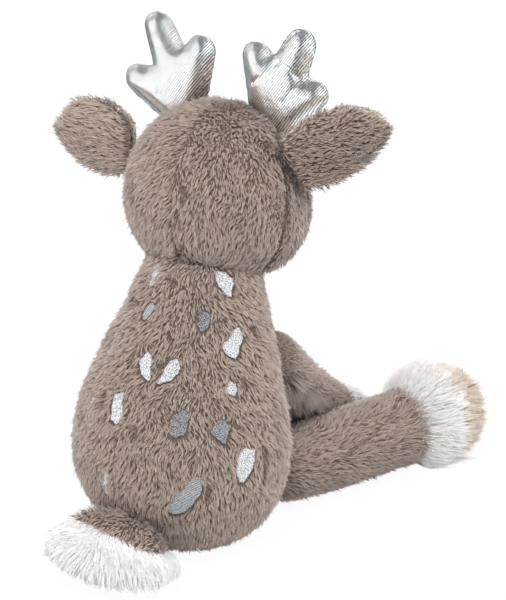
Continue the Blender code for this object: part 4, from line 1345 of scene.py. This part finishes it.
# %% [markdown]
# ## White studio
# The toy stands on a white sweep under soft light, so that only a faint shadow is left
# under it. The floor and the world show as white to the camera. The silver antlers don't
# mirror the floor but a grey room with a large soft box at the left of the camera and a
# ring of softer light at its right. That gives each tine its white middle, a grey band
# right beside it, and grey edges.

# %% Floor
stage_material, tree, shader = new_material("white_paper", Roughness=0.9, Specular_IOR_Level=0.1)
shader.inputs["Base Color"].default_value = linear("F2F2F2")
path = add_node(tree, "LightPath")
mirrored = add_node(
    tree, "Math",
    {0: path.outputs["Is Glossy Ray"], 1: path.outputs["Is Transmission Ray"]}, operation="MAXIMUM",
)
FLOOR_GLOW = 0.95
seen = add_node(
    tree, "Math",
    {0: path.outputs["Is Camera Ray"], 1: FLOOR_GLOW, 2: mirrored.outputs[0]},
    operation="MULTIPLY_ADD",
)
glow = add_node(tree, "Emission", {"Color": linear("FFFFFF"), "Strength": 1.0})
mixed = add_node(
    tree, "MixShader", {0: seen.outputs[0], 1: shader.outputs["BSDF"], 2: glow.outputs["Emission"]}
)
tree.links.new(mixed.outputs["Shader"], tree.nodes["Material Output"].inputs["Surface"])

bpy.ops.object.select_all(action="DESELECT")
bpy.ops.mesh.primitive_plane_add(size=6, location=(0, 0, 0))
floor = bpy.context.object
floor.name = "floor"
floor.data.materials.append(stage_material)
floor.visible_glossy = False
print("Floor of 6 m, which glows as white paper does")

# %% World
SOFT_BOX_TURN = math.radians(65)
SOFT_BOX_GAIN = 1.28
world = bpy.data.worlds.new("studio")
world.use_nodes = True
bpy.context.scene.world = world
tree = world.node_tree
path = add_node(tree, "LightPath")
seen = add_node(
    tree, "Math",
    {0: path.outputs["Is Camera Ray"], 1: path.outputs["Is Transmission Ray"]},
    operation="MAXIMUM",
)
place = add_node(tree, "TexCoord")
# How far a direction is toward the big soft box at the left of the camera
level = Vector((toward_camera.x, toward_camera.y, 0)).normalized()
soft_box = level * math.cos(SOFT_BOX_TURN) - picture_right * math.sin(SOFT_BOX_TURN)
facing = add_node(
    tree, "VectorMath",
    {0: place.outputs["Generated"], 1: tuple(soft_box)}, operation="DOT_PRODUCT",
)
facing = add_node(
    tree, "MapRange", {"Value": facing.outputs["Value"], "From Min": -1.0, "From Max": 1.0}
)
room = colour_ramp(
    tree, facing.outputs["Result"],
    (
        (0.08, "7F8488"), (0.15, "F4F5F6"), (0.43, "F4F5F6"),
        (0.51, "7F8488"), (0.71, "7F8488"), (0.79, "FFFFFF"),
    ),
)
room = add_node(
    tree, "VectorMath",
    {0: room.outputs["Color"], "Scale": SOFT_BOX_GAIN}, operation="SCALE",
)
unseen = add_node(
    tree, "Mix",
    {"Factor": path.outputs["Is Glossy Ray"], "A": linear("DEDEDE"), "B": room.outputs["Vector"]},
    data_type="RGBA",
)
shade = add_node(
    tree, "Mix",
    {"Factor": seen.outputs[0], "A": unseen.outputs["Result"], "B": linear("FFFFFF")},
    data_type="RGBA",
)
tree.links.new(shade.outputs["Result"], tree.nodes["Background"].inputs["Color"])
print("Room of grey with a soft box, turned", round(math.degrees(SOFT_BOX_TURN)), "degrees")

# %% [markdown]
# ## Lamps
# Four round soft boxes give the pile its soft shade: a key lamp above the camera, one at
# each side, and one for the face, which only shows in views from the front.


# %% Lamps
def soft_lamp(name, place, size, power):
    """A round soft box that faces the toy. The antlers mirror the panels and not the lamp."""
    data = bpy.data.lights.new(name, "AREA")
    data.shape, data.size, data.energy = "DISK", size, power
    lamp = bpy.data.objects.new(name, data)
    lamp.location = place
    lamp.rotation_euler = (looked_at - place).to_track_quat("-Z", "Y").to_euler()
    lamp.visible_glossy = False
    bpy.context.scene.collection.objects.link(lamp)


soft_lamp("key", looked_at + toward_camera * 1.1 + UP * 0.9, 0.9, 19)
soft_lamp("left_fill", looked_at - picture_right * 1.3 + UP * 0.6, 0.8, 8)
soft_lamp("right_fill", looked_at + picture_right * 1.3 + UP * 0.6, 0.8, 10)
soft_lamp("front_fill", looked_at - toward_camera * 1.2 + UP * 0.9, 0.9, 9)
print("Lamps:", [light.name for light in bpy.data.lights])
